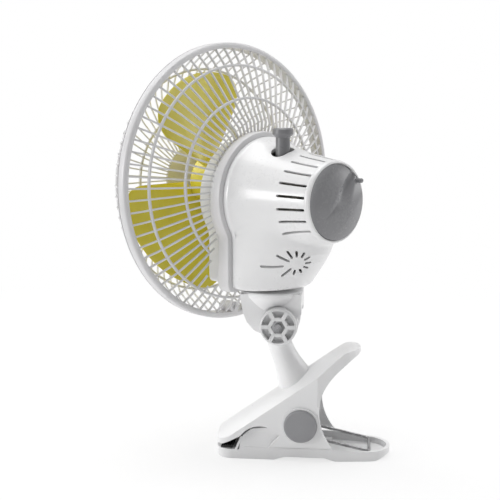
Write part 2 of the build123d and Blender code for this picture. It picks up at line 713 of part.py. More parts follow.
def gearbox_cover():
    """Lid of the gearbox with the spindle's upper bearing."""
    z = CASE_Z[1]
    box = block(CASE_X[0], CASE_X[1], at(CASE_AT[0]), at(CASE_AT[1]), z, z + COVER_T)
    lid = box & case_round(0)
    return lid - upright(SPINDLE_R + RUN, CLUTCH_X, at(CLUTCH_AT), z - 1, z + COVER_T + 1)


def worm_wheel():
    """Wheel that the worm turns."""
    y = at(CLUTCH_AT)
    wheel = gear(WHEEL_TEETH, WHEEL_R - 0.35, 1.0, *WHEEL_Z, CLUTCH_X, y)
    return wheel - upright(SPINDLE_R, CLUTCH_X, y, -5, 5)


def clutch_spindle():
    """Upright spindle with the pinion that drives the crank gear."""
    y = at(CLUTCH_AT)
    spindle = upright(SPINDLE_R, CLUTCH_X, y, CASE_Z[0] + 0.2, KNOB_REST + 6)
    return spindle + gear(PINION_TEETH, PINION_R, 2.0, *TRAIN_Z, CLUTCH_X, y, 180.0 / PINION_TEETH)


def crank_gear():
    """Slow gear with its hub, crank disc and pin."""
    y = at(CLUTCH_AT)
    wheel = gear(CRANK_TEETH, CRANK_R, 2.0, *TRAIN_Z, CRANK_X, y)
    hub = upright(CRANK_HUB_R, CRANK_X, y, CRANK_DISC_Z[0], TRAIN_Z[1] + 3)
    plate = upright(CRANK_DISC_R, CRANK_X, y, *CRANK_DISC_Z)
    pin = upright(CRANK_PIN_T, CRANK_X, y - CRANK_PIN_R, LINK_Z[1] + GAP, CRANK_DISC_Z[0] + 1)
    return wheel.fuse(hub, plate, pin)


def switch_body():
    """Rotary switch behind the speed knob, on the housing's rear wall."""
    front, rear = CASE_AT[1] + 1.5, REAR_END - SHELL_T
    body = turned([(0, front), (13, front), (14, front + 1), (14, rear), (0, rear)], DROP)
    return body - disc(2.5 + RUN, rear - 9, rear + 1, z=SWITCH_Z)


def switch_leads():
    """Three leads from the switch's terminals to the motor's rear plate."""
    front = PLATE_AT[1] + PLATE_T
    leads = []
    for x in (4.0, 7.2, 10.4):
        leads.append(disc(1.0, front, CASE_AT[1] + 1.5, x=x, z=CASE_Z[0] - 2.2))
        foot = block(x - 1, x + 1, at(CASE_AT[1]) + 0.1, at(CASE_AT[1] + 1.5), CASE_Z[0] - 3.2, -18)
        leads[-1] = leads[-1] + foot
    return Compound(leads)


# ---- knobs on the head ----
def speed_knob():
    """Rear knob: a low dome with one thumb groove across it, and a pointer nub at the groove's end."""
    front, rear = REAR_END + GAP, SPEED_END
    edge, mid = SPEED_END - DOME_H, SPEED_END - DOME_H * 0.27
    side = Polyline((0, at(rear)), (0, at(front)), (SPEED_R, at(front)), (SPEED_R, at(edge)))
    dome = ThreePointArc((SPEED_R, at(edge)), (SPEED_R / 2, at(mid)), (0, at(rear)))
    cap = Pos(0, 0, -DROP) * revolve(make_face(side.edges() + dome.edges()), Axis.Y)
    stem = disc(SWITCH_NECK_R, REAR_END - SHELL_T + 0.1, front + 1, z=SWITCH_Z)
    spindle = disc(SPINDLE_OF_SWITCH_R, REAR_END - SHELL_T - 8, REAR_END, z=SWITCH_Z)
    groove = Pos(0, at(rear) + GROOVE_R - GROOVE_DEEP, GROOVE_SET) * Rot(0, 90, 0) * Cylinder(GROOVE_R, 80)
    knob = cap - Pos(0, 0, -DROP) * Rot(0, GROOVE_TURN, 0) * groove
    nub = Pos(0, 0, -DROP) * Rot(0, GROOVE_TURN, 0) * Pos(-SPEED_R + NUB_R, 0, 0)
    nub = nub * Plane(origin=(0, at(front), 0), z_dir=(0, 1, 0)).location * Pos(0, 0, 3.6) * Cylinder(NUB_R, 7.2)
    return knob + stem + spindle + nub


def oscillation_knob():
    """Pull knob: a waisted stem with a wide top, over the clutch spindle."""
    y = at(CLUTCH_AT)
    stem = upright(PULL_STEM_R, CLUTCH_X, y, KNOB_REST, PULL_TOP - 4)
    flare = Pos(CLUTCH_X, y, PULL_TOP - 4.9) * Cone(PULL_STEM_R, PULL_DISC_R, 2.2)
    top = upright(PULL_DISC_R, CLUTCH_X, y, PULL_TOP - 3.8, PULL_TOP)
    top = chamfer(top.faces().sort_by(Axis.Z)[-1].edges(), 0.8)
    return stem.fuse(flare, top) - upright(SPINDLE_R + RUN, CLUTCH_X, y, KNOB_REST - 1, KNOB_REST + 8)


# ---- yoke ----


def from_axis(z):
    """World height of a height given from the fan axis."""
    return AXIS_H + z


def yoke():
    """Fork under the housing: a round table on two cheeks that straddle the post."""
    top = from_axis(DISC_TOP)
    profile = [(-DISC_R + 0.5, top - 1), (-18, FRUSTUM_LOW), (-15.5, TILT_Z + 1), (-11, TILT_Z - 4),
               (-4, TILT_Z - 7.5), (TILT_Y, TILT_Z - 9), (DISC_R - 0.5, FRUSTUM_LOW), (DISC_R - 0.5, top - 1)]
    body = side_prism(profile, -YOKE_W / 2, YOKE_W / 2)
    body = body + axle(CHEEK_R, -YOKE_W / 2, YOKE_W / 2, TILT_Y, TILT_Z)
    table = upright(DISC_R, 0, 0, top - 2.6, top)
    table = chamfer(table.faces().sort_by(Axis.Z)[-1].edges(), 0.8)
    cone_h = top - 2.6 - FRUSTUM_LOW
    skirt = Pos(0, 0, FRUSTUM_LOW + cone_h / 2) * Cone(YOKE_W / 2 - 1, DISC_R, cone_h)
    body = body.fuse(table, skirt)
    body = body - block(-CHEEK_GAP / 2, CHEEK_GAP / 2, -40, 40, TILT_Z - 31, DECK)
    body = body - upright(SWIVEL_R + FIT, 0, 0, TILT_Z - 11, top + 1)
    body = body - axle(TILT_KNOB_R + 1.2, YOKE_W / 2, 30, TILT_Y, TILT_Z)
    body = body - axle(BOLT_R + FIT, -30, 30, TILT_Y, TILT_Z)
    return solid_of(body)


def swivel_post():
    """Post fixed in the yoke, with the collar that carries the head and the crank arm."""
    post = upright(SWIVEL_R, 0, 0, DECK + 0.5, from_axis(SWIVEL_TOP))
    collar = upright(HEAD_SEAT_R, 0, 0, from_axis(DISC_TOP), from_axis(NECK_LOW) - 0.1)
    low = from_axis(LINK_Z[0]) - GAP - ARM_T
    arm = block(-ARM_L, 0, -ARM_HALF, ARM_HALF, low, low + ARM_T)
    arm = arm + upright(ARM_HALF, -ARM_L, 0, low, low + ARM_T)
    pin = upright(1.5, -ARM_L, 0, low, from_axis(LINK_Z[1]) + 0.6)
    return post.fuse(collar, arm, pin)


def swivel_washer():
    """Washer on the housing's inner seat."""
    low = from_axis(WASHER_Z)
    return upright(WASHER_R, 0, 0, low, low + WASHER_T) - upright(SWIVEL_R, 0, 0, low - 1, low + 3)


def hexagon(flats, z0, z1):
    """Upright hexagonal bar."""
    return extrude(Pos(0, 0, z0) * RegularPolygon(flats / 2, 6, major_radius=False), z1 - z0)


def swivel_nut():
    """Nut that keeps the head on its post."""
    low = from_axis(WASHER_Z) + WASHER_T
    return hexagon(SWIVEL_NUT_AF, low, low + SWIVEL_NUT_T) - upright(SWIVEL_R, 0, 0, low - 1, low + 9)


def crank_link():
    """Link between the post's arm and the crank pin, drawn in the head's rest position."""
    start = (-ARM_L, 0.0)
    lean = radians(HEAD_TURN)
    px, py = CRANK_X, at(CLUTCH_AT) - CRANK_PIN_R
    end = (px * cos(lean) - py * sin(lean), px * sin(lean) + py * cos(lean))
    length = sqrt((end[0] - start[0]) ** 2 + (end[1] - start[1]) ** 2)
    turn = degrees(acos((end[0] - start[0]) / length))
    low, high = from_axis(LINK_Z[0]), from_axis(LINK_Z[1])
    bar = block(0, length, -ARM_HALF, ARM_HALF, low, high)
    bar = bar.fuse(upright(ARM_HALF + 0.4, 0, 0, low, high), upright(ARM_HALF + 0.4, length, 0, low, high))
    bar = bar - upright(1.5 + RUN, 0, 0, low - 1, high + 1)
    return Pos(start[0], start[1], 0) * Rot(0, 0, turn) * bar


def tilt_bolt():
    """Bolt through cheeks and post, with the round cap on its far end."""
    cap_end = -YOKE_W / 2 - 0.1
    shank = axle(BOLT_R, cap_end, TILT_KNOB_X[1] + 0.8, TILT_Y, TILT_Z)
    cap = axle(9.5, cap_end - 6.5, cap_end, TILT_Y, TILT_Z)
    cap = chamfer(cap.faces().sort_by(Axis.X)[0].edges(), 1.2)
    return shank + cap


def tilt_knob():
    """Six-pocket knob with a hexagonal recess for the nut."""
    x0, x1 = TILT_KNOB_X
    knob = axle(TILT_KNOB_R, x0, x1, TILT_Y, TILT_Z)
    knob = chamfer(knob.faces().sort_by(Axis.X)[-1].edges(), 0.9)
    pocket = 2.7
    for k in range(6):
        a = radians(90 + k * 60)
        y, z = TILT_Y + 8.4 * cos(a), TILT_Z + 8.4 * sin(a)
        knob = knob - axle(pocket, x1 - 5.5, x1 + 1, y, z)
    hexa = Pos(0, TILT_Y, TILT_Z) * Rot(0, 90, 0) * hexagon(NUT_AF + 2 * FIT, x1 - NUT_T - 0.4, x1 + 1)
    return knob - hexa - axle(BOLT_R + RUN, x0 - 1, x1 + 1, TILT_Y, TILT_Z)


def tilt_nut():
    """Steel nut in the knob."""
    x1 = TILT_KNOB_X[1] - 0.4
    nut = Pos(0, TILT_Y, TILT_Z) * Rot(0, 90, 0) * hexagon(NUT_AF, x1 - NUT_T, x1)
    return nut - axle(BOLT_R + RUN, x1 - NUT_T - 1, x1 + 1, TILT_Y, TILT_Z)


# ---- clip: upper lever and post ----


def crown(lower):
    """Everything under the upper lever's sloping, arched back, or under a copy set lower."""
    half, deep = 30.0, -110.0
    edge_drop = CROWN_R - sqrt(CROWN_R ** 2 - (LEVER_W / 2) ** 2)
    top = edge_drop - lower
    side = top - (CROWN_R - sqrt(CROWN_R ** 2 - half ** 2))
    slope = radians(SLOPE)
    plane = Plane(origin=(0, PIVOT_Y + BACK_FOOT[0], BACK_FOOT[1]), x_dir=(1, 0, 0),
                  z_dir=(0, -cos(slope), -sin(slope)))
    arc = ThreePointArc((-half, side), (0, top), (half, side))
    rest = Polyline((half, side), (half, deep), (-half, deep), (-half, side))
    return extrude(plane * make_face(arc.edges() + rest.edges()), 160, both=True)


def lever_plan(inset):
    """Upper lever seen from above: rounded jaw, parallel sides, narrowing round handle."""
    w, n = LEVER_W / 2 - inset, HANDLE_W / 2 - inset
    tip, end, c = TIP + inset, HANDLE_END - inset, 12.0 - inset
    half = [
        Line((0, tip), (w - c, tip)),
        ThreePointArc((w - c, tip), (w - c * 0.293, tip + c * 0.293), (w, tip + c)),
        Line((w, tip + c), (w, 11)),
        Line((w, 11), (n, 24)),
        ThreePointArc((n, 24), (n * 0.67, end - 4.5), (0, end)),
    ]
    half = Curve() + half
    face = Pos(0, PIVOT_Y) * make_face(half + mirror(half, about=Plane.YZ))
    ears = block(-w, w, PIVOT_Y - 30, PIVOT_Y + 24, 0, 38)
    return extrude(face, 100) + ears


def lever_side():
    """Upper lever seen from the side, with the arch behind the jaw and the pivot ears."""
    arch = ThreePointArc((-40.4, 16.4), (-26, 23.6), (-14.3, 17.5))
    ear = ThreePointArc((21, 9.8), (14.2, 22), (12.5, 38))
    handle = Spline((12.5, 38), (14.0, 45.5), (23.7, 59.8), (34.0, 68.5))
    top = ThreePointArc((23, 70.0), (31, 73.4), (37.5, 74.2))
    lines = [
        Line((-14.3, 17.5), (-21.4, 9.6)), Line((-21.4, 9.6), (21, 9.8)),
        Line((34.0, 68.5), (39.2, 71.6)), Line((39.2, 71.6), (39.0, 73.4)), Line((39.0, 73.4), (37.5, 74.2)),
        Line((23, 70.0), (-40, 42)), Line((-40, 42), (-58, 20)), Line((-58, 20), (-57.5, 9.8)),
        Line((-57.5, 9.8), (-53.0, 9.9)), Line((-53.0, 9.9), (-40.4, 16.4)),
    ]
    edges = arch.edges() + ear.edges() + handle.edges() + top.edges()
    for line in lines:
        edges = edges + line.edges()
    plane = Plane(origin=(-30, PIVOT_Y, 0), x_dir=(0, 1, 0), z_dir=(1, 0, 0))
    return extrude(plane * make_face(edges), 60)


def lever_hull():
    """Upper lever as a full body."""
    return lever_side() & lever_plan(0) & crown(0)


def lever_hollow():
    """Room under the upper lever's back and between its skirts, closed by the handle's end."""
    roof = [(-80, -20), (-80, 21.5), (23, 67.3), (31, 70.7), (36.2, 71.5), (36.9, 70.2), (36.9, -20)]
    under = side_prism([(PIVOT_Y + y, z) for y, z in roof], -40, 40)
    return lever_plan(LEVER_T) & crown(LEVER_T) & under


def upper_lever():
    """Upper lever: shell with skirts, pivot ears and the rings round the caps."""
    body = lever_hull() - lever_hollow()
    w = LEVER_W / 2
    for x0, x1 in ((w, w + RING_T), (-w - RING_T, -w)):
        ring = axle(RING_R, x0, x1, PIVOT_Y, PIVOT_Z) - axle(CAP_R + FIT, x0 - 1, x1 + 1, PIVOT_Y, PIVOT_Z)
        body = body + ring
    body = body - axle(PIN_R + FIT, -40, 40, PIVOT_Y, PIVOT_Z)
    for dy in POST_SCREW_PLACES:
        body = body - screw_on_back(dy, POST_SCREW_R + FIT, -20, 20)
    return solid_of(body)


def screw_on_back(dy, radius, low, high):
    """Cylinder square to the upper lever's back, between two heights over its centre line."""
    slope = radians(SLOPE)
    edge_drop = CROWN_R - sqrt(CROWN_R ** 2 - (LEVER_W / 2) ** 2)
    z = BACK_FOOT[1] + (dy - BACK_FOOT[0]) * sin(slope) / cos(slope) + edge_drop / cos(slope)
    plane = Plane(origin=(0, PIVOT_Y + dy, z), x_dir=(1, 0, 0), z_dir=(0, -sin(slope), cos(slope)))
    return plane * Pos(0, 0, (low + high) / 2) * Cylinder(radius, high - low)


def post():
    """Leaning post: barrel for the tilt bolt, waist, and a foot that fits the lever's back."""
    rise = POST_HIGH - POST_LOW
    sections = [Plane.XY.offset(POST_LOW + rise * share) * Pos(0, y) * Circle(r)
                for y, share, r in POST_STATIONS]
    body = loft(sections)
    body = body + axle(BARREL_R, -CHEEK_GAP / 2 + SEAM, CHEEK_GAP / 2 - SEAM, TILT_Y, TILT_Z)
    body = body - axle(BOLT_R + RUN, -20, 20, TILT_Y, TILT_Z)
    for dy in POST_SCREW_PLACES:
        body = body - screw_on_back(dy, POST_SCREW_R + FIT, -5, 9)
    return solid_of(body - (crown(0) & block(-40, 40, -40, 60, 0, POST_HIGH - 3)))


def post_screws():
    """Two screws from under the lever's back into the post."""
    under = -LEVER_T - 0.15
    screws = []
    for dy in POST_SCREW_PLACES:
        head = screw_on_back(dy, POST_SCREW_HEAD, under - 2.0, under)
        screws.append(head + screw_on_back(dy, POST_SCREW_R, under, 8.5))
    return Compound(screws)


def pivot_pin():
    """Steel pin of the clip."""
    return axle(PIN_R, -LEVER_W / 2, LEVER_W / 2, PIVOT_Y, PIVOT_Z)


def pivot_caps():
    """Round caps over the pin's ends."""
    w = LEVER_W / 2
    caps = []
    for side in (-1, 1):
        x0, x1 = sorted((side * w, side * (w + CAP_T)))
        cap = axle(CAP_R, x0, x1, PIVOT_Y, PIVOT_Z)
        outer = cap.faces().sort_by(Axis.X)[-1 if side > 0 else 0]
        caps.append(chamfer(outer.edges(), 0.8))
    return Compound(caps)


# ---- clip: pads ----


def zigzag(start, end, teeth, rise):
    """Points of a toothed edge between two points."""
    points = []
    for k in range(teeth):
        for share, lift in ((k / teeth, 0), ((k + 0.5) / teeth, rise)):
            y = start[0] + (end[0] - start[0]) * share
            points.append((y, start[1] + (end[1] - start[1]) * share + lift))
    return points + [end]


def lower_pad():
    """Ridged rubber pad on the lower jaw."""
    z = JAW_TOP + PAD_BASE
    edge = zigzag((PAD_FRONT, z), (PAD_REAR - 1.6, z), 6, TOOTH)
    points = edge + [(PAD_REAR - 1.6, JAW_TOP), (PAD_FRONT, JAW_TOP)]
    return side_prism([(PIVOT_Y + y, z) for y, z in points], -PAD_X, PAD_X)


def upper_pad():
    """Ridged rubber pad under the upper jaw."""
    edge = zigzag((PAD_FRONT, 9.9), (PAD_REAR + 3.6, 18.0), 6, -TOOTH)
    points = edge + [(PAD_REAR + 3.6, 40), (PAD_FRONT, 40)]
    body = side_prism([(PIVOT_Y + y, z) for y, z in points], -PAD_X, PAD_X)
    return solid_of(body & crown(LEVER_T) & lever_plan(LEVER_T + GAP))


# ---- clip: lower lever ----


def lower_plan(inset):
    """Lower lever seen from above."""
    w, n = LOWER_W / 2 - inset, TONGUE_W / 2 - inset
    tip, end, c = LOWER_TIP + inset, TONGUE_END - inset, 11.0 - inset
    half = Curve() + [
        Line((0, tip), (w - c, tip)),
        ThreePointArc((w - c, tip), (w - c * 0.293, tip + c * 0.293), (w, tip + c)),
        Line((w, tip + c), (w, 20)),
        Line((w, 20), (n, 43)),
        ThreePointArc((n, 43), (n * 0.68, end - 4.6), (0, end)),
    ]
    return extrude(Pos(0, PIVOT_Y) * make_face(half + mirror(half, about=Plane.YZ)), 60)


def lower_lever():
    """Lower lever: jaw, tray with a rim, cheeks with the pivot ears, slanted back wall."""
    low = [(LOWER_TIP - 1, 1.4), (LOWER_TIP + 2, 0), (FOOT_END, 0), (FOOT_END + 7, TRAY_LIFT), (16, TRAY_LIFT),
           (23, 0), (50, 0), (TONGUE_END + 1, 3.4)]
    high = [(TONGUE_END + 1, TONGUE_RIM), (40, TONGUE_RIM), (21, TRAY_RIM), (-38, TRAY_RIM), (-41, JAW_TOP),
            (LOWER_TIP - 1, JAW_TOP)]
    outline = [(PIVOT_Y + y, z) for y, z in low + high]
    body = side_prism(outline, -LOWER_W / 2, LOWER_W / 2) & lower_plan(0)
    floor = TRAY_LIFT + TRAY_FLOOR
    room = lower_plan(LEVER_T)
    hollow = room & block(-30, 30, PIVOT_Y - 38, PIVOT_Y + 20, floor, 60)
    hollow = hollow + (room & block(-30, 30, PIVOT_Y + 20, PIVOT_Y + 60, TRAY_FLOOR + 0.4, 60))
    body = body - hollow
    cheek = [(-41.5, 5), (-40.4, 12), (-38, 17), (-33, 20.8), (-26, 21.8), (-17, 21.8), (-9, 27), (9, 27),
             (12.5, 8), (12.5, 5)]
    strip = [(-44.3, 6), (-42.7, 6), (-38.7, 15.5), (-40.3, 15.5)]
    parts = []
    for x0, x1 in ((CHEEK_IN, CHEEK_OUT), (-CHEEK_OUT, -CHEEK_IN)):
        parts.append(side_prism([(PIVOT_Y + y, z) for y, z in cheek], x0, x1))
        parts.append(axle(EAR_R, x0, x1, PIVOT_Y, PIVOT_Z))
    parts.append(side_prism([(PIVOT_Y + y, z) for y, z in strip], -CHEEK_OUT, CHEEK_OUT))
    body = body.fuse(*parts)
    return solid_of(body - axle(PIN_R + RUN, -30, 30, PIVOT_Y, PIVOT_Z))


# ---- clip: spring ----


def tangent_angle(y, z, side):
    """Angle on the coil at which a straight leg towards a point touches it."""
    dy, dz = y, z - PIVOT_Z
    return atan2(dz, dy) + side * acos(COIL_R / hypot(dy, dz))


def biarc(p0, t0, p1, t1):
    """Two arcs that join two points along their tangents."""
    v = p1 - p0
    t = t0 + t1
    turn = 2 * (1 - t0.dot(t1))
    d = (-v.dot(t) + sqrt(v.dot(t) ** 2 + turn * v.dot(v))) / turn
    mid = (p0 + p1 + (t0 - t1) * d) * 0.5
    first = Edge.make_tangent_arc(p0, t0, mid)
    second = Edge.make_tangent_arc(mid, first % 1, p1)
    return [first, second]


def coil_nodes():
    """Points and directions of one coil, from its lower leg inwards to its upper leg."""
    start = tangent_angle(SPRING_END, SPRING_Z, -1)
    end = tangent_angle(UPPER_LEG[0], UPPER_LEG[1], 1)
    total = (start - end) % (2 * pi) + 2 * pi * COIL_TURNS
    count = round(total / (pi / 2))
    nodes = []
    for k in range(count + 1):
        share = k / count
        a = start - total * share
        drift = 0 if k in (0, count) else -COIL_PITCH / (2 * pi * COIL_R)
        x = LEG_X - COIL_PITCH * total / (2 * pi) * share
        point = Vector(x, PIVOT_Y + COIL_R * cos(a), PIVOT_Z + COIL_R * sin(a))
        nodes.append((point, Vector(drift, sin(a), -cos(a)).normalized()))
    return nodes


def spring_half():
    """Edges of the right half of the wire, from the middle of the cross-bar to the leg's end."""
    nodes = coil_nodes()
    top = Vector(nodes[-1][0].X, PIVOT_Y + UPPER_LEG[0], UPPER_LEG[1])
    first = nodes[0][0]
    corner = Vector(LEG_X, PIVOT_Y + SPRING_END, SPRING_Z)
    along = (corner - first).normalized()
    bend_start = corner - along * BEND_R
    bend_end = corner - Vector(BEND_R, 0, 0)
    bend = Edge.make_tangent_arc(bend_start, along, bend_end)
    edges = [Edge.make_line(Vector(0, corner.Y, corner.Z), bend_end), bend, Edge.make_line(bend_start, first)]
    for (p0, t0), (p1, t1) in zip(nodes, nodes[1:]):
        edges += biarc(p0, t0, p1, t1)
    return edges + [Edge.make_line(nodes[-1][0], top)]


def least_gap(edges):
    """Least gap between stretches of the wire that are over half a turn apart."""
    points, walked = [], 0.0
    for edge in edges:
        count = max(2, round(edge.length / 1.5))
        for k in range(count):
            points.append((walked + edge.length * k / count, edge @ (k / count)))
        walked += edge.length
    apart = pi * COIL_R
    return min((p - q).length for s, p in points for t, q in points if t - s > apart) - 2 * WIRE_R


def torsion_spring():
    """Double torsion spring of one wire: leg, coil, cross-bar, coil, leg."""
    edges = spring_half()
    print("least gap between the spring's turns: %.2f mm" % least_gap(edges))
    start = edges[0] @ 0
    ring = Plane(origin=start, z_dir=(1, 0, 0)) * Circle(WIRE_R)
    wire = sweep(ring, path=Wire(edges)).solid()
    return solid_of(wire.fuse(mirror(wire, about=Plane.YZ)))


# ---- assembly ----
HEAD_PARTS = [
    rear_guard, front_guard, guard_screw, badge, rear_housing, front_housing, housing_screws, cord_inlet,
    motor_front_bracket, motor_rear_bracket, motor_bearings, stator_core, stator_windings, motor_screws,
    motor_shaft, rotor_core, fan_blade, blade_cap, gearbox_case, gearbox_cover, worm_wheel, clutch_spindle,
    crank_gear, switch_body, switch_leads, speed_knob, oscillation_knob,
]
STAND_PARTS = [
    yoke, swivel_post, swivel_washer, swivel_nut, crank_link, tilt_bolt, tilt_knob, tilt_nut, post,
    post_screws, upper_lever, upper_pad, pivot_pin, pivot_caps, lower_lever, lower_pad, torsion_spring,
]


def build():
    """Every piece in its place, by name."""
    head_place = Location((0, 0, AXIS_H), (0, 0, HEAD_TURN))
    pieces = {make.__name__: head_place * make() for make in HEAD_PARTS}
    pieces.update({make.__name__: make() for make in STAND_PARTS})
    return pieces


os.makedirs("parts", exist_ok=True)
for name, piece in build().items():
    export_step(piece, "parts/%s.step" % name)
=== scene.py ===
from math import acos, asin, atan2, ceil, cos, exp, hypot, pi, radians, sin, sqrt

import bmesh
import bpy
from mathutils import Matrix, Vector


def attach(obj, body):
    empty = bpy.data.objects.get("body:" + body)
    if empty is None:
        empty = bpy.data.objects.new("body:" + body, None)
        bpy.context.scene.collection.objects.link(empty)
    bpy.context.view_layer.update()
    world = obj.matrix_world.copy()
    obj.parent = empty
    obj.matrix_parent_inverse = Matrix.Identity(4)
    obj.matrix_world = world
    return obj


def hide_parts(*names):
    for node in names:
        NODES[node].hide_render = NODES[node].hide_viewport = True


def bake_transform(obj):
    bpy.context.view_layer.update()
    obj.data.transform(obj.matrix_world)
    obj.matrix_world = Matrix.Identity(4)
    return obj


bl_info = {
    "name": "Clip fan",
    "version": (1, 0, 0),
    "blender": (4, 5, 0),
    "location": "3D View > Sidebar > Clip fan",
    "description": "Dresses the clip fan's frame: guards, housing, blades, knobs, clip and studio",
    "category": "Object",
}

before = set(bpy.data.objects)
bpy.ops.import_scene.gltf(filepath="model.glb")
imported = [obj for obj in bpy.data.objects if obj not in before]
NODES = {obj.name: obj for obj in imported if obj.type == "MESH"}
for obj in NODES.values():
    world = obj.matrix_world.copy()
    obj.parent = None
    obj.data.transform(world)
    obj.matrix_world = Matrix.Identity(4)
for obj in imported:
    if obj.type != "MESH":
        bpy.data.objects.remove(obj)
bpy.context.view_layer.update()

# Sizes are in millimetres. The head is drawn about its own swivel axis and then turned.
MM = 0.001
AXIS_H = 182.5  # fan axis over the ground
HEAD_TURN = -40.0
RIM_SET = 43.5  # guard's rim in front of the swivel axis
DROP = 7.7  # housing's round part and speed knob under the fan axis
HEAD = (Matrix.Translation((0, 0, AXIS_H * MM)) @ Matrix.Rotation(radians(HEAD_TURN), 4, "Z")
        @ Matrix.Scale(MM, 4))
WORLD = Matrix.Scale(MM, 4)

# Housing seen along the fan axis: a round part run into a straight neck.
HOUSING_R, NECK_HALF, NECK_END = 39.6, 31.8, -67.5
FLARE_R, NECK_CORNER = 18.0, 4.0
COLLAR_END = -69.3
RIM_IN, RIM_OUT = 91.0, 95.0


# ---- shapes ----
def spot(x, depth, z):
    """Head place from sideways, depth behind the rim and height over the fan axis, in millimetres."""
    return Vector((x, depth - RIM_SET, z))


def add_object(name, verts, faces, place=WORLD, sharp=None):
    """Smooth-shaded mesh object from points in millimetres; edges over the given angle stay sharp."""
    mesh = bpy.data.meshes.new(name)
    mesh.from_pydata([tuple(place @ Vector(v)) for v in verts], [], faces)
    mesh.validate()
    bm = bmesh.new()
    bm.from_mesh(mesh)
    bmesh.ops.recalc_face_normals(bm, faces=bm.faces)
    bm.to_mesh(mesh)
    bm.free()
    mesh.shade_smooth()
    if sharp:
        mesh.set_sharp_from_angle(angle=radians(sharp))
    obj = bpy.data.objects.new(name, mesh)
    bpy.context.scene.collection.objects.link(obj)
    return obj


def smooth_line(points, steps):
    """Points along a Catmull-Rom curve through the given ones."""
    pts = [Vector(p) for p in points]
    pts = [pts[0] * 2 - pts[1]] + pts + [pts[-1] * 2 - pts[-2]]
    out = []
    for k in range(1, len(pts) - 2):
        a, b, c, d = pts[k - 1:k + 3]
        for s in range(steps):
            t = s / steps
            out.append(0.5 * (2 * b + (c - a) * t + (2 * a - 5 * b + 4 * c - d) * t * t
                              + (3 * b - a - 3 * c + d) * t ** 3))
    return out + [pts[-2]]


def ease(x):
    """Smooth step from 0 to 1."""
    x = min(max(x, 0.0), 1.0)
    return x * x * (3 - 2 * x)


def read_off(table, x):
    """Value of a table of pairs at x, on straight lines between its rows."""
    rows = sorted(table)
    if x <= rows[0][0]:
        return rows[0][1]
    for (x0, y0), (x1, y1) in zip(rows, rows[1:]):
        if x <= x1:
            return y0 + (y1 - y0) * (x - x0) / (x1 - x0)
    return rows[-1][1]


def ring_faces(first, n, rings):
    """Quads between rings of n points each, numbered from the first one."""
    faces = []
    for k in range(rings - 1):
        a, b = first + k * n, first + (k + 1) * n
        faces += [(a + i, b + i, b + (i + 1) % n, a + (i + 1) % n) for i in range(n)]
    return faces


class Bars:
    """Collects swept bars and lathe rings into one mesh."""

    def __init__(self):
        """Start empty."""
        self.verts, self.faces = [], []

    def sweep(self, path, ring_at, closed=False, caps=True):
        """Joins one ring of points for each stop on a path."""
        base = len(self.verts)
        rings = [ring_at(k, p) for k, p in enumerate(path)]
        n = len(rings[0])
        for ring in rings:
            self.verts.extend(ring)
        count = len(rings)
        for k in range(count if closed else count - 1):
            a, b = base + k * n, base + ((k + 1) % count) * n
            for i in range(n):
                j = (i + 1) % n
                self.faces.append((a + i, a + j, b + j, b + i))
        if caps and not closed:
            self.faces.append(tuple(base + i for i in reversed(range(n))))
            self.faces.append(tuple(base + (count - 1) * n + i for i in range(n)))

    def lathe(self, profile, steps, drop=0.0):
        """Closed ring round the fan axis; the profile is a loop of (radius, depth)."""
        def ring(k, a):
            return [spot(r * cos(a), d, r * sin(a) - drop) for r, d in profile]
        self.sweep([2 * pi * k / steps for k in range(steps)], ring, closed=True)

    def make(self, name, place, sharp=None):
        """All that was collected, as one object."""
        return add_object(name, self.verts, self.faces, place, sharp=sharp)


def rounded_box(w, t, corner, per=2):
    """Loop of a rectangle with round corners, as (across, along) pairs."""
    out = []
    for k, (sx, sy) in enumerate(((1, 1), (-1, 1), (-1, -1), (1, -1))):
        for i in range(per + 1):
            a = (k + i / per) * pi / 2
            out.append((sx * (w / 2 - corner) + corner * cos(a), sy * (t / 2 - corner) + corner * sin(a)))
    return out


def keyhole_points(grow=0.0, steps=1.0):
    """Housing's outline in X and Z, as a loop of points about one step apart, round from its top.

    Outlines of the same spacing have the same number of points, however far they are grown."""
    c = NECK_CORNER
    fx = NECK_HALF + FLARE_R
    fz = -DROP - sqrt((HOUSING_R + FLARE_R) ** 2 - fx ** 2)
    join = atan2(fz + DROP, fx)
    path = []

    def arc(cx, cz, r, a0, a1, plain):
        n = max(2, ceil(abs(a1 - a0) * plain / steps))
        for k in range(n):
            a = a0 + (a1 - a0) * k / n
            path.append((cx + r * cos(a), cz + r * sin(a)))

    def run(x0, z0, x1, z1, plain):
        n = max(1, ceil(plain / steps))
        for k in range(n):
            path.append((x0 + (x1 - x0) * k / n, z0 + (z1 - z0) * k / n))

    bottom = NECK_END - grow
    wide = NECK_HALF + grow
    arc(0, -DROP, HOUSING_R + grow, pi / 2, join, HOUSING_R)
    arc(fx, fz, FLARE_R - grow, join + pi, pi, FLARE_R)
    run(wide, fz, wide, bottom + c, fz - NECK_END - c)
    arc(wide - c, bottom + c, c, 0, -pi / 2, c)
    run(wide - c, bottom, 0, bottom, NECK_HALF - c)
    return path + [(0, bottom)] + [(-x, z) for x, z in reversed(path[1:])]


# Bowls of the guards, as (radius, depth behind the rim).
REAR_BOWL = [(42, 29.6), (49, 26.0), (57.6, 22.0), (68, 17.6), (79.5, 12.2), (88, 6.9), (94, 2.6)]
FRONT_BOWL = [(94, -2.2), (91.5, -3.9), (88, -9.4), (84, -16.6), (80, -22.3), (68, -30.6), (55, -34.4),
              (40, -37.0), (22, -38.0)]


def rib_start(angle, out):
    """Radius at which a rib meets the collar's edge, for an angle from +X upwards."""
    s, c = sin(angle), abs(cos(angle))
    start = -DROP * s + sqrt((DROP * s) ** 2 - DROP ** 2 + (HOUSING_R + out) ** 2)
    if s < 0:
        start = max(start, min((NECK_HALF + out) / max(c, 1e-6), COLLAR_END / s))
    return start


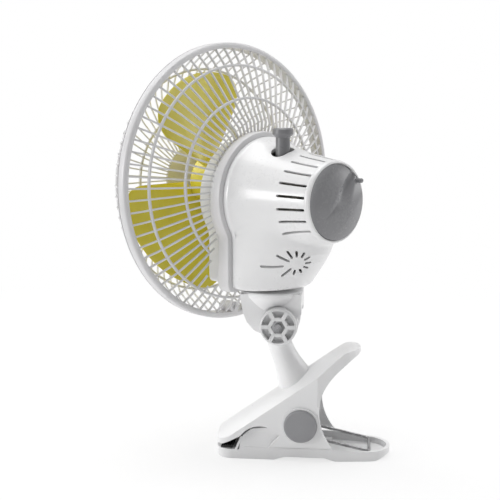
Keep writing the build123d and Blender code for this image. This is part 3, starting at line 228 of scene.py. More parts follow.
def bowl_curve(bowl):
    """Bowl's depths at close radii, on a smooth curve."""
    return [(p[0], p[1]) for p in smooth_line([(r, d, 0) for r, d in bowl], 6)]


def bowl_ribs(bars, bowl, count, start_at, end, width, thick):
    """Ribs of a guard, each standing on its edge along the bowl."""
    curve = bowl_curve(bowl)
    loop = rounded_box(width, thick, 0.42)
    for k in range(count):
        a = 2 * pi * k / count
        first = start_at(a)
        stops = [(first, read_off(curve, first))]
        stops += sorted(q for q in curve if first + 0.6 < q[0] < end - 0.6)
        stops.append((end, read_off(curve, end)))
        out, side = Vector((cos(a), 0, sin(a))), Vector((-sin(a), 0, cos(a)))

        def ring(i, stop):
            before, after = stops[max(i - 1, 0)], stops[min(i + 1, len(stops) - 1)]
            run = (out * (after[0] - before[0]) + Vector((0, after[1] - before[1], 0))).normalized()
            up = side.cross(run)
            centre = out * stop[0] + Vector((0, stop[1] - RIM_SET, 0))
            return [centre + side * u + up * v for u, v in loop]

        bars.sweep(stops, ring)


def bowl_hoop(bars, bowl, radius, width, thick, opening=0.0):
    """Hoop of a guard, lying in the ribs; left open at the bottom where asked."""
    depth = read_off(bowl_curve(bowl), radius)
    loop = rounded_box(width, thick, 0.6)
    half = radians(opening / 2)
    n = 160
    stops = [-pi / 2 + half + (2 * pi - 2 * half) * k / n for k in range(n if not opening else n + 1)]

    def ring(i, a):
        return [spot((radius + u) * cos(a), depth + v, (radius + u) * sin(a)) for u, v in loop]

    bars.sweep(stops, ring, closed=not opening)


def keyhole_band(bars, section, low):
    """Band that follows the housing's outline; its section is a loop of (outwards, depth)."""
    base = keyhole_points()
    n = len(base)

    def ring(i, p):
        a, b = Vector(base[i - 1]), Vector(base[(i + 1) % n])
        t = (b - a).normalized()
        nrm = Vector((-t[1], t[0]))
        out = []
        for grow, depth in section:
            x, z = p[0] + nrm[0] * grow, p[1] + nrm[1] * grow
            out.append(spot(x, depth, max(z, low)))
        return out

    bars.sweep(base, ring, closed=True)


# ---- finishes ----
def group(name, inputs, outputs):
    """Empty shader node group with named sockets."""
    tree = bpy.data.node_groups.new(name, "ShaderNodeTree")
    for label, kind, value in inputs:
        sock = tree.interface.new_socket(label, in_out="INPUT", socket_type=kind)
        if value is not None:
            sock.default_value = value
    for label, kind in outputs:
        tree.interface.new_socket(label, in_out="OUTPUT", socket_type=kind)
    return tree, tree.nodes.new("NodeGroupInput"), tree.nodes.new("NodeGroupOutput")


def node(tree, kind, **values):
    """Node with its properties and its unlinked inputs set."""
    made = tree.nodes.new(kind)
    for key, value in values.items():
        if hasattr(made, key):
            setattr(made, key, value)
        else:
            made.inputs[key.replace("_", " ")].default_value = value
    return made


def mapped(tree, value, low, high, to_low, to_high):
    """Map Range from one span to another."""
    made = node(tree, "ShaderNodeMapRange")
    for k, v in enumerate((low, high, to_low, to_high)):
        made.inputs[k + 1].default_value = v
    tree.links.new(value, made.inputs[0])
    return made.outputs[0]


def maths(tree, how, a, b=None):
    """Math node on two sockets or numbers."""
    made = node(tree, "ShaderNodeMath", operation=how)
    for k, v in enumerate((a, b)):
        if v is None:
            continue
        if isinstance(v, (int, float)):
            made.inputs[k].default_value = v
        else:
            tree.links.new(v, made.inputs[k])
    return made.outputs[0]


def mixed(tree, share, first, second):
    """Mix of two colours, each a socket or a plain colour."""
    made = node(tree, "ShaderNodeMix", data_type="RGBA")
    tree.links.new(share, made.inputs[0])
    for k, colour in ((6, first), (7, second)):
        if isinstance(colour, tuple):
            made.inputs[k].default_value = colour
        else:
            tree.links.new(colour, made.inputs[k])
    return made.outputs[2]


def noise(tree, where, scale, detail, rough=0.5):
    """Noise texture over a place."""
    made = node(tree, "ShaderNodeTexNoise", Scale=scale, Detail=detail)
    made.inputs["Roughness"].default_value = rough
    tree.links.new(where, made.inputs["Vector"])
    return made.outputs["Fac"]


def moulded_skin():
    """Moulded plastic: fine spark grain, slow ripples of the mould and faint clouding of the colour."""
    tree, gin, gout = group("moulded_skin", [
        ("Colour", "NodeSocketColor", (0.8, 0.8, 0.8, 1)), ("Clouded", "NodeSocketColor", (0.7, 0.7, 0.7, 1)),
        ("Roughness", "NodeSocketFloat", 0.3), ("Spread", "NodeSocketFloat", 0.08),
        ("Grain", "NodeSocketFloat", 1.0), ("Ripple", "NodeSocketFloat", 1.0),
        ("Grain Scale", "NodeSocketFloat", 2600.0)],
        [("Colour", "NodeSocketColor"), ("Roughness", "NodeSocketFloat"), ("Height", "NodeSocketFloat")])
    link = tree.links.new
    place = node(tree, "ShaderNodeTexCoord").outputs["Object"]
    cloud = noise(tree, place, 38.0, 3.0)
    grain = node(tree, "ShaderNodeTexNoise", Detail=2.0)
    link(place, grain.inputs["Vector"])
    link(gin.outputs["Grain Scale"], grain.inputs["Scale"])
    ripple = noise(tree, place, 24.0, 1.0)
    rub = noise(tree, place, 420.0, 4.0, 0.65)
    clouds = mapped(tree, cloud, 0.35, 0.7, 0.0, 1.0)
    link(mixed(tree, clouds, gin.outputs["Colour"], gin.outputs["Clouded"]), gout.inputs["Colour"])
    wander = maths(tree, "ADD", mapped(tree, rub, 0.3, 0.7, -0.6, 0.6),
                   mapped(tree, cloud, 0.3, 0.7, -0.5, 0.5))
    link(maths(tree, "ADD", gin.outputs["Roughness"], maths(tree, "MULTIPLY", wander, gin.outputs["Spread"])),
         gout.inputs["Roughness"])
    fine = maths(tree, "MULTIPLY", grain.outputs["Fac"], maths(tree, "MULTIPLY", gin.outputs["Grain"], 0.02))
    slow = maths(tree, "MULTIPLY", ripple, maths(tree, "MULTIPLY", gin.outputs["Ripple"], 0.25))
    link(maths(tree, "ADD", fine, slow), gout.inputs["Height"])
    return tree


def edge_wear():
    """Mask of the edges that hands and shelves rub, broken up by noise."""
    tree, gin, gout = group("edge_wear", [
        ("Reach", "NodeSocketFloat", 0.0006), ("Amount", "NodeSocketFloat", 1.0)],
        [("Mask", "NodeSocketFloat")])
    link = tree.links.new
    place = node(tree, "ShaderNodeTexCoord").outputs["Object"]
    soft = node(tree, "ShaderNodeBevel", samples=4)
    link(gin.outputs["Reach"], soft.inputs["Radius"])
    flat = node(tree, "ShaderNodeNewGeometry")
    dot = node(tree, "ShaderNodeVectorMath", operation="DOT_PRODUCT")
    link(soft.outputs[0], dot.inputs[0])
    link(flat.outputs["Normal"], dot.inputs[1])
    edge = mapped(tree, dot.outputs["Value"], 0.995, 0.86, 0.0, 1.0)
    broken = mapped(tree, noise(tree, place, 900.0, 5.0, 0.7), 0.42, 0.66, 0.0, 1.0)
    worn = maths(tree, "MULTIPLY", edge, broken)
    link(maths(tree, "MULTIPLY", worn, gin.outputs["Amount"]), gout.inputs["Mask"])
    return tree


def brushed_metal():
    """Turned or rolled metal: fine scratches in all directions, stains and a grey film."""
    tree, gin, gout = group("brushed_metal", [
        ("Colour", "NodeSocketColor", (0.6, 0.6, 0.6, 1)), ("Stain", "NodeSocketColor", (0.3, 0.3, 0.3, 1)),
        ("Roughness", "NodeSocketFloat", 0.3), ("Spread", "NodeSocketFloat", 0.15),
        ("Scratch", "NodeSocketFloat", 1.0), ("Stretch", "NodeSocketVector", (1.0, 1.0, 1.0))],
        [("Colour", "NodeSocketColor"), ("Roughness", "NodeSocketFloat"), ("Height", "NodeSocketFloat")])
    link = tree.links.new
    place = node(tree, "ShaderNodeTexCoord").outputs["Object"]
    drawn = node(tree, "ShaderNodeVectorMath", operation="MULTIPLY")
    link(place, drawn.inputs[0])
    link(gin.outputs["Stretch"], drawn.inputs[1])
    scratch = noise(tree, drawn.outputs[0], 2200.0, 3.0, 0.6)
    stain = noise(tree, place, 160.0, 5.0, 0.6)
    stains = mapped(tree, stain, 0.4, 0.75, 0.0, 1.0)
    link(mixed(tree, stains, gin.outputs["Colour"], gin.outputs["Stain"]), gout.inputs["Colour"])
    wander = maths(tree, "ADD", mapped(tree, scratch, 0.3, 0.7, -0.5, 0.5),
                   mapped(tree, stain, 0.3, 0.7, -0.5, 0.5))
    link(maths(tree, "ADD", gin.outputs["Roughness"], maths(tree, "MULTIPLY", wander, gin.outputs["Spread"])),
         gout.inputs["Roughness"])
    scratched = maths(tree, "MULTIPLY", scratch, gin.outputs["Scratch"])
    link(maths(tree, "MULTIPLY", scratched, 0.03), gout.inputs["Height"])
    return tree


GROUPS = {}


def grouped(tree, maker, values):
    """Node that stands for a shared group, which is made when it is first asked for, with its inputs set."""
    if maker not in GROUPS:
        GROUPS[maker] = maker()
    made = tree.nodes.new("ShaderNodeGroup")
    made.node_tree = GROUPS[maker]
    for key, value in values.items():
        made.inputs[key].default_value = value
    return made


def new_finish(name):
    """Material with its Principled shader."""
    made = bpy.data.materials.new(name)
    made.use_nodes = True
    tree = made.node_tree
    return made, tree, next(n for n in tree.nodes if n.type == "BSDF_PRINCIPLED")


def dark(colour, share):
    """Colour times a share."""
    return tuple(c * share for c in colour[:3]) + (1,)


def cover(tree, shader, skin, rub, worn, strength, distance):
    """Joins a skin group, its worn edges and its relief to a material's shader."""
    link = tree.links.new
    link(mixed(tree, rub.outputs["Mask"], skin.outputs["Colour"], worn), shader.inputs["Base Color"])
    link(skin.outputs["Roughness"], shader.inputs["Roughness"])
    bump = node(tree, "ShaderNodeBump", Strength=strength, Distance=distance)
    link(skin.outputs["Height"], bump.inputs["Height"])
    link(bump.outputs[0], shader.inputs["Normal"])


def plastic(name, colour, clouded, rough, spread=0.06, grain=1.0, ripple=1.0, worn=None, wear=0.5, coat=0.0,
            scale=2600.0, level=0.5):
    """Moulded plastic finish."""
    made, tree, shader = new_finish(name)
    skin = grouped(tree, moulded_skin, {
        "Colour": colour, "Clouded": clouded, "Roughness": rough, "Spread": spread, "Grain": grain,
        "Ripple": ripple, "Grain Scale": scale})
    rub = grouped(tree, edge_wear, {"Amount": wear})
    cover(tree, shader, skin, rub, worn or dark(colour, 0.86), 0.35, 0.0006)
    shader.inputs["IOR"].default_value = 1.49
    shader.inputs["Specular IOR Level"].default_value = level
    shader.inputs["Coat Weight"].default_value = coat
    shader.inputs["Coat Roughness"].default_value = 0.08
    return made


def metal(name, colour, stain, rough, spread=0.15, scratch=1.0, stretch=(1, 1, 1), worn=None):
    """Metal finish with scratches and stains."""
    made, tree, shader = new_finish(name)
    skin = grouped(tree, brushed_metal, {
        "Colour": colour, "Stain": stain, "Roughness": rough, "Spread": spread, "Scratch": scratch,
        "Stretch": stretch})
    rub = grouped(tree, edge_wear, {"Reach": 0.0004})
    bright = tuple(min(1, c * 1.4) for c in colour[:3]) + (1,)
    cover(tree, shader, skin, rub, worn or bright, 0.4, 0.0004)
    shader.inputs["Metallic"].default_value = 1.0
    return made


def rubber(name, colour):
    """Matt pad rubber with a dusty bloom."""
    return plastic(name, colour, dark(colour, 1.5), rough=0.72, spread=0.12, grain=2.2, ripple=0.4,
                   worn=dark(colour, 2.2), wear=0.7, scale=1700.0, level=0.3)


# ---- rear housing ----
SEAM_AT, REAR_END = 38.2, 98.0
SHELL_T = 2.0
FACE_R = 26.3  # flat rear face, where the flank starts
FLANK_R = 310.32  # large radius that makes the flank a little hollow
# How far the neck stands out behind the seam, by height.
NECK_DEPTHS = [(NECK_END, 28.0), (-62, 33.4), (-55, 40.0), (-48, 46.0), (-42, 50.4), (-36, 53.3), (-30, 54.6),
               (-24, 54.4), (-16, 51.8), (-DROP, 47.0)]
NECK_FADE = 26.0  # height over which the neck runs out above the fan's middle
NECK_BLEND = 15.0  # softness of the run from the flank into the neck
NECK_ROUND = 3.0  # round along the neck's lower edge

VENTS, VENT_LENGTH, VENT_WIDTH = 22, 21.0, 1.7
NO_VENTS = (237.0, 303.0)  # degrees round the flank, where the neck stands
RAY_MIDDLE, RAY_FACING = (13.8, 79.7, -47.6), (0.48, 0.68, -0.56)
RAY_LENGTHS = [15.0, 9.0] + [4.5] * 7 + [6.0, 9.0]
RAY_WIDTH, RAY_TURN = 1.6, 7.6
PULL_SLOT = (17.0, 11.2)  # length across the head and width of the pull knob's slot
PULL_AT = (9.0, 61.7)
SWITCH_HOLE_R = 4.2


def flank_centre():
    """Centre of the arc that hollows the flank, as radius and depth, from the arc's two ends."""
    dr, dd = (HOUSING_R - FACE_R) / 2, (REAR_END - SEAM_AT) / 2
    reach = sqrt(FLANK_R ** 2 - dr ** 2 - dd ** 2) / hypot(dr, dd)
    return FACE_R + dr + dd * reach, SEAM_AT + dd + dr * reach


FLANK_AT = flank_centre()


def cone_depth(r):
    """Depth of the housing's round part at a radius, on its slightly hollow flank."""
    if r <= FACE_R:
        return REAR_END
    return max(FLANK_AT[1] - sqrt(FLANK_R ** 2 - (min(r, 40.0) - FLANK_AT[0]) ** 2), SEAM_AT)


def smooth_max(a, b, blend):
    """Greater of two values, with a soft change between them."""
    h = max(blend - abs(a - b), 0.0) / blend
    return max(a, b) + h * h * blend / 4


def shell_depth(x, z, inset):
    """Depth of the rear housing's surface over a place in X and Z, outside or so far inside."""
    cone = cone_depth(hypot(x, z + DROP) + inset)
    if cone >= REAR_END:
        return REAR_END - inset
    side = sqrt(max(1 - (x / (NECK_HALF - inset)) ** 2, 0.0))
    neck = SEAM_AT + (read_off(NECK_DEPTHS, z) - inset) * side * (1 - ease((z + DROP) / NECK_FADE))
    depth = min(smooth_max(cone, neck, NECK_BLEND), REAR_END - inset)
    lift = min(max((z - NECK_END - inset) / NECK_ROUND, 0.0), 1.0)
    return depth - NECK_ROUND * (1 - sqrt(1 - (1 - lift) ** 2))


def shell_layer(inset, levels):
    """Points of the shell's outer or inner surface, in rings from its middle to its wall and to the seam."""
    middle = (0.0, -25.0)
    outline = keyhole_points(-inset, 1.1)
    verts = [spot(middle[0], shell_depth(*middle, inset), middle[1])]
    for j in range(1, levels + 1):
        for x, z in outline:
            px, pz = middle[0] + (x - middle[0]) * j / levels, middle[1] + (z - middle[1]) * j / levels
            verts.append(spot(px, shell_depth(px, pz, inset), pz))
    last = len(verts) - len(outline)
    for share in (0.5, 1.0):
        for i, (x, z) in enumerate(outline):
            top = verts[last + i][1] + RIM_SET
            verts.append(spot(x, top + (SEAM_AT - top) * share, z))
    return verts, len(outline)


def slot_box(bars, place, length, width, low, high):
    """Cutter for one slot with round ends; it runs along its own X from 0 and cuts along its Z."""
    loop, r = [], width / 2
    for middle, first in ((length - r, -pi / 2), (r, pi / 2)):
        for k in range(9):
            a = first + pi * k / 8
            loop.append((middle + cos(a) * r, sin(a) * r))
    bars.sweep([low, high], lambda k, h: [place @ Vector((x, y, h)) for x, y in loop])


def axes(x_dir, z_dir, origin):
    """Placing matrix from a direction, a normal and a point."""
    z = Vector(z_dir).normalized()
    x = (Vector(x_dir) - z * Vector(x_dir).dot(z)).normalized()
    y = z.cross(x)
    return Matrix([(x[i], y[i], z[i], origin[i]) for i in range(3)] + [(0, 0, 0, 1)])


def baked(obj):
    """Puts an object's modifiers into its mesh, with its faces turned outwards."""
    bpy.context.view_layer.update()
    mesh = bpy.data.meshes.new_from_object(obj.evaluated_get(bpy.context.evaluated_depsgraph_get()))
    obj.modifiers.clear()
    old = obj.data
    obj.data = mesh
    bpy.data.meshes.remove(old)
    bm = bmesh.new()
    bm.from_mesh(mesh)
    bmesh.ops.recalc_face_normals(bm, faces=bm.faces)
    bm.to_mesh(mesh)
    bm.free()
    return obj


def housing_cutter():
    """Vent slots round the cone, rays of the side vent, the pull knob's slot and the switch hole."""
    cuts = Bars()
    for k in range(VENTS):
        deg = (k + 0.5) * 360.0 / VENTS
        if NO_VENTS[0] < deg < NO_VENTS[1]:
            continue
        a = radians(deg)
        out = Vector((cos(a), 0, sin(a)))
        low = spot(22 * cos(a), 76.0, 22 * sin(a) - DROP)
        slot_box(cuts, axes((0, 1, 0), out, low), VENT_LENGTH, VENT_WIDTH, 0.0, 12.0)
    left = Vector((cos(radians(-50)), sin(radians(-50)), 0))
    face = axes(left, RAY_FACING, spot(*RAY_MIDDLE))
    for k, length in enumerate(RAY_LENGTHS):
        turn = Matrix.Rotation(radians(RAY_TURN + k * 360.0 / len(RAY_LENGTHS)), 4, "Z")
        start = Matrix.Translation((8.5 if k == 0 else 5.0, 0, 0))
        slot_box(cuts, face @ turn @ start, length, RAY_WIDTH, -6.5, 4.0)
    across, width = PULL_SLOT
    start = spot(PULL_AT[0] - across / 2, PULL_AT[1], 0)
    slot_box(cuts, axes((1, 0, 0), (0, 0, 1), start), across, width, 10.0, 40.0)
    turns = [2 * pi * k / 32 for k in range(32)]
    loop = [(SWITCH_HOLE_R * cos(a), SWITCH_HOLE_R * sin(a) - DROP) for a in turns]
    cuts.sweep([REAR_END - 5.0, REAR_END + 3.0], lambda k, d: [spot(x, d, z) for x, z in loop])
    return cuts.make("housing_cutter", HEAD)


class OBJECT_OT_fan_rear_housing(bpy.types.Operator):
    """Rear shell: round flank run smoothly into the neck, with its vents and slots."""

    bl_idname = "object.fan_rear_housing"
    bl_label = "Rear housing"

    def execute(self, context):
        """Shell as one thick surface, then the slots cut through it."""
        levels = 96
        verts, n = shell_layer(0.0, levels)
        inner, _ = shell_layer(SHELL_T, levels)
        base, faces = len(verts), []
        for start in (0, base):
            faces += [(start, start + 1 + i, start + 1 + (i + 1) % n) for i in range(n)]
            faces += ring_faces(start + 1, n, levels + 2)
        a, b = base - n, base + len(inner) - n
        faces += [(a + i, b + i, b + (i + 1) % n, a + (i + 1) % n) for i in range(n)]
        shell = add_object("rear_housing_shell", verts + inner, faces, HEAD)
        cutter = housing_cutter()
        cut = shell.modifiers.new("slots", "BOOLEAN")
        cut.operation, cut.solver, cut.object = "DIFFERENCE", "EXACT", cutter
        baked(shell)
        bpy.data.objects.remove(cutter)
        shell.data.shade_smooth()
        shell.data.set_sharp_from_angle(angle=radians(38))
        paint(shell, "white_shell")
        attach(shell, "head")
        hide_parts("rear_housing")
        ring = Bars()
        ring.lathe([(24.3, 96.5), (26.0, 96.5), (26.4, 97.0), (26.3, 98.3), (25.8, 99.8), (25.4, 100.25),
                    (24.9, 100.4), (24.4, 100.1)], 160, DROP)
        piece = ring.make("knob_bezel", HEAD, sharp=50)
        paint(piece, "white_shell")
        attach(piece, "head")
        return {"FINISHED"}


# ---- knobs ----
GAP = 0.3  # between the speed knob and the housing's face
SPEED_R, SPEED_END = 24.0, 106.0
SPEED_ROUND = 0.5
DOME = 4.6  # fall of the dome from its middle to its edge
CREST_AT, CREST_FALL, PLANED_SLOPE = (-9.9, -7.4), (0.68, 0.734), 0.13
DISH_AT = (-15.0, 17.0)  # upper end of the thumb dish's valley, which runs down to the right
DIAGONAL = 0.707
VALLEY_DEPTH, VALLEY_SLOPE = 101.4, 0.098
UPPER_SIDE, LOWER_SIDE = 0.16, 0.27  # slopes of the dish's two sides
LOWER_END = 0.008  # how fast the dish opens at its lower end
GROOVE, GROOVE_HALF, GROOVE_LENGTH = 2.6, 3.4, 30.0  # deeper part at the valley's upper end
DISH_SHARE = 1.7
NUB_R, NUB_AT = 22.5, (-0.82, 0.57)


def knob_depth(x, z):
    """Depth of the speed knob's face over a place measured from its own middle.

    A low dome, planed off along one straight crest, with a V-shaped thumb dish sunk into the planed side."""
    dome = SPEED_END - DOME * (hypot(x, z) / SPEED_R) ** 2
    beyond = (x - CREST_AT[0]) * CREST_FALL[0] + (z - CREST_AT[1]) * CREST_FALL[1]
    planed = dome - PLANED_SLOPE * (sqrt(beyond ** 2 + 0.8) + beyond) * 0.5
    along = (x - DISH_AT[0]) * DIAGONAL - (z - DISH_AT[1]) * DIAGONAL
    off = (x - DISH_AT[0]) * DIAGONAL + (z - DISH_AT[1]) * DIAGONAL
    floor = VALLEY_DEPTH + VALLEY_SLOPE * along
    away = sqrt(off ** 2 + 1.4) - 1.18
    opened = LOWER_END * max(along - 20.0, 0.0) ** 2
    if off > 0:
        rise = UPPER_SIDE * away - 0.0125 * off ** 2 - opened
    else:
        rise = LOWER_SIDE * away - opened * max(1 + off / 4, 0.0)
    groove = GROOVE * exp(-(off / GROOVE_HALF) ** 2) * (1 - ease((along + 2.0) / GROOVE_LENGTH))
    sunk = smooth_max(planed - floor - rise + groove, 0.0, 0.5)
    return smooth_max(planed - DISH_SHARE * sunk, REAR_END + 1.0, 1.0)


class OBJECT_OT_fan_speed_knob(bpy.types.Operator):
    """Rear knob with its thumb dish, pointer nub and stem."""

    bl_idname = "object.fan_speed_knob"
    bl_label = "Speed knob"

    def execute(self, context):
        """Face as a fine height field, then a rounded rim and the hidden stem."""
        n, levels = 240, 110
        front = REAR_END + GAP
        verts = [spot(0, knob_depth(0, 0), -DROP)]
        inner_r = SPEED_R - SPEED_ROUND
        turns = [2 * pi * i / n for i in range(n)]
        for j in range(1, levels + 1):
            r = inner_r * j / levels
            for a in turns:
                x, z = r * cos(a), r * sin(a)
                verts.append(spot(x, knob_depth(x, z), z - DROP))
        for tip in (pi / 6, pi / 3, pi / 2):
            r = inner_r + SPEED_ROUND * sin(tip)
            for a in turns:
                d = knob_depth(inner_r * cos(a), inner_r * sin(a)) - SPEED_ROUND * (1 - cos(tip))
                verts.append(spot(r * cos(a), max(d, front + 0.2), r * sin(a) - DROP))
        for r, d in ((SPEED_R, front), (8.0, front), (4.0, front), (4.0, 96.2), (2.5, 96.2), (2.5, 88.2)):
            verts += [spot(r * cos(a), d, r * sin(a) - DROP) for a in turns]
        rings = (len(verts) - 1) // n
        faces = [(0, 1 + i, 1 + (i + 1) % n) for i in range(n)] + ring_faces(1, n, rings)
        faces.append(tuple(1 + (rings - 1) * n + i for i in range(n)))
        nub = Bars()
        nub.verts, nub.faces = verts, faces
        place = Vector((NUB_AT[0] * NUB_R, 0, NUB_AT[1] * NUB_R - DROP))
        profile = [(1.2, front), (1.5, front + 0.3), (1.5, 104.8), (1.35, 105.2), (0.9, 105.45), (0.3, 105.5)]

        def ring(k, stop):
            r, d = stop
            return [place + Vector((r * cos(2 * pi * i / 32), d - RIM_SET, r * sin(2 * pi * i / 32)))
                    for i in range(32)]

        nub.sweep(profile, ring)
        piece = nub.make("speed_knob_dished", HEAD, sharp=50)
        paint(piece, "grey_knob")
        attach(piece, "speed_selector")
        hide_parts("speed_knob")
        return {"FINISHED"}


TILT_Y, TILT_Z = 5.9, 91.0
TILT_KNOB_R, TILT_ROUND = 12.2, 1.1
TILT_KNOB_X = (15.3, 24.0)  # from the yoke's side outwards
TILT_BORE_R, NUT_HALF, NUT_DEPTH = 2.58, 4.05, 4.4
POCKETS, POCKET_DEPTH, SPOKE_HALF = 6, 4.6, 1.25
POCKET_IN, POCKET_OUT = 6.5, 10.9


def sideways(x, y, z):
    """Place near the tilt bolt: along the bolt, then behind it and above it."""
    return Vector((x, TILT_Y + y, TILT_Z + z))


class OBJECT_OT_fan_tilt_knob(bpy.types.Operator):
    """Tilt knob with six sector-shaped pockets round its hub."""

    bl_idname = "object.fan_tilt_knob"
    bl_label = "Tilt knob"

    def execute(self, context):
        """Turned blank less six pockets and the nut's recess, with its edges rounded."""
        x0, x1 = TILT_KNOB_X
        blank = Bars()
        profile = [(TILT_KNOB_R - 0.6, x0), (TILT_KNOB_R, x0 + 0.6)]
        r, x = TILT_KNOB_R - TILT_ROUND, x1 - TILT_ROUND
        profile += [(r + TILT_ROUND * cos(t * pi / 12), x + TILT_ROUND * sin(t * pi / 12)) for t in range(7)]
        profile += [(9.0, x1), (TILT_BORE_R, x1), (TILT_BORE_R, x0), (6.0, x0)]
        stops = [2 * pi * k / 160 for k in range(160)]
        blank.sweep(stops, lambda k, a: [sideways(d, r * cos(a), r * sin(a)) for r, d in profile],
                    closed=True)
        knob = blank.make("tilt_knob_pocketed", WORLD)
        cuts = Bars()
        for k in range(POCKETS):
            self.pocket(cuts, radians(90 + 360 / POCKETS * k), x1)
        corner = NUT_HALF / cos(pi / 6)
        nut = [sideways(0, corner * cos(k * pi / 3), corner * sin(k * pi / 3)) for k in range(6)]
        cuts.sweep([x1 - NUT_DEPTH, x1 + 1], lambda k, x: [p + Vector((x, 0, 0)) for p in nut])
        cutter = cuts.make("tilt_pockets", WORLD)
        step = knob.modifiers.new("pockets", "BOOLEAN")
        step.operation, step.solver, step.object = "DIFFERENCE", "EXACT", cutter
        baked(knob)
        bpy.data.objects.remove(cutter)
        knob.data.set_sharp_from_angle(angle=radians(30))
        soft = knob.modifiers.new("round", "BEVEL")
        soft.width, soft.segments = 0.3 * MM, 2
        soft.limit_method, soft.angle_limit = "ANGLE", radians(45)
        baked(knob)
        knob.data.shade_smooth()
        knob.data.set_sharp_from_angle(angle=radians(38))
        paint(knob, "pale_knob")
        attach(knob, "tilt_lock")
        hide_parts("tilt_knob")
        return {"FINISHED"}

    def pocket(self, cuts, turn, top):
        """One pocket: walls beside the spokes run parallel to them, and the pocket is drawn a little towards
        the bolt at its flat floor.
        """
        out = []
        for r, order in ((POCKET_OUT, 1), (POCKET_IN, -1)):
            span = pi / POCKETS - asin(SPOKE_HALF / r)
            out += [(r, turn + order * span * (-1 + 2 * i / 10)) for i in range(11)]
        loop = [Vector((0, r * cos(a), r * sin(a))) for r, a in out]
        grown = (0.985, 1)
        cuts.sweep([top - POCKET_DEPTH, top + 1],
                   lambda k, x: [sideways(x, 0, 0) + p * grown[k] for p in loop])


# ---- fan ----
BLADES, FIRST_BLADE, BLADE_HALF = 3, 75.0, 44.0  # count, degrees to the first and half a blade's span
BLADE_TIP, BLADE_CORNER, BLADE_ROOT = 76.0, 20.0, 18.6
BLADE_T, TIP_T = 1.8, 1.3
EDGE_SHARE, EDGE_REACH = 0.28, 1.6  # thickness at a blade's edge, and how far in it grows to the full one
HUB_R, HUB_IN = 20.0, 18.0
BLADE_LEAD, BLADE_PITCH, BLADE_BOW = 3.9, 20.0, 1.2  # depth at the leading edge, fall across a blade, bow


class OBJECT_OT_fan_blades(bpy.types.Operator):
    """Three broad swept blades on a hollow hub."""

    bl_idname = "object.fan_blades"
    bl_label = "Blades"

    def execute(self, context):
        """Each blade a closed sheet on a screw surface, thicker at its root."""
        fan = Bars()
        fan.lathe([(3.0, -24.0), (12.0, -24.0), (14.0, -23.6), (18.6, -19.2), (19.6, -17.6), (HUB_R, -16.0),
                   (HUB_R, -2.4), (19.6, -2.0), (18.4, -2.0), (HUB_IN, -2.4), (HUB_IN, -16.6), (17.2, -17.2),
                   (8.4, -17.2), (8.0, -16.8), (8.0, -5.4), (7.6, -5.0), (3.0, -5.0)], 144)
        for k in range(BLADES):
            self.blade(fan, radians(FIRST_BLADE + 360 / BLADES * k))
        piece = fan.make("fan_blades", HEAD, sharp=40)
        paint(piece, "blade")
        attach(piece, "fan")
        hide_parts("fan_blade")
        return {"FINISHED"}

    def blade(self, fan, mid):
        """One blade as rings round its section, from the hub outwards."""
        half, tip, corner = radians(BLADE_HALF), BLADE_TIP, BLADE_CORNER
        steps = 36

        def reach(r):
            """Half span at a radius: narrower in the rounded outer corners."""
            left = tip - r
            if left >= corner:
                return half
            inset = corner - sqrt(max(corner ** 2 - (corner - left) ** 2, 0.0))
            return half - inset / tip

        def section(k, r):
            span = reach(r)
            out = (r - HUB_IN) / (tip - HUB_IN)
            thick = BLADE_T - (BLADE_T - TIP_T) * out
            ring = []
            for side in (1, -1):
                for i in range(steps + 1):
                    share = i / steps if side > 0 else 1 - i / steps
                    a = mid - span + 2 * span * share
                    turn = (a - mid + half) / (2 * half)
                    edge = min(share, 1 - share) * 2 * span * r
                    near = min(edge, tip - r) / EDGE_REACH
                    t = thick * min(1.0, EDGE_SHARE + 0.5 * sqrt(near))
                    d = -BLADE_LEAD - BLADE_PITCH * turn - BLADE_BOW * sin(pi * share) * out
                    ring.append(spot(r * cos(a), d + side * t / 2, r * sin(a)))
            return ring

        stops = [BLADE_ROOT + (tip - corner - BLADE_ROOT) * i / 14 for i in range(14)]
        stops += [tip - corner + (corner - 0.05) * sin(pi / 2 * i / 14) for i in range(15)]
        base, n = len(fan.verts), 2 * (steps + 1)
        fan.sweep(stops, section, caps=False)
        for start in (base, base + (len(stops) - 1) * n):
            last = start + n - 1
            fan.faces += [(start + i, start + i + 1, last - 1 - i, last - i) for i in range(steps)]


# ---- spring ----
PIVOT_Y, PIVOT_Z = 21.1, 25.0
WIRE_R, COIL_R, COIL_PITCH = 1.0, 9.0, 2.6
COIL_X = 14.0  # half the cross-bar, and the outer end of each coil
SPRING_END, SPRING_Z = 45.4, 6.0  # cross-bar on the lower handle, behind the pivot and over the ground
UPPER_LEG = (20.9, 65.0)
LEG_BEND = 3.0


def leg_angle(y, z, side):
    """Angle on the coil at which a straight leg towards a point touches it."""
    dy, dz = y, z - PIVOT_Z
    return atan2(dz, dy) + side * acos(COIL_R / hypot(dy, dz))


def tube(bars, path, radius, around=16):
    """Round wire along a path, carried without twist."""
    last = len(path) - 1
    tangents = [(path[min(k + 1, last)] - path[max(k - 1, 0)]).normalized() for k in range(last + 1)]
    normal = tangents[0].cross(Vector((0.3, 0.2, 1))).normalized()
    frames = []
    for t in tangents:
        normal = (normal - t * normal.dot(t)).normalized()
        frames.append((normal, t.cross(normal)))

    def ring(k, p):
        u, v = frames[k]
        return [p + u * radius * cos(2 * pi * i / around) + v * radius * sin(2 * pi * i / around)
                for i in range(around)]

    bars.sweep(path, ring)


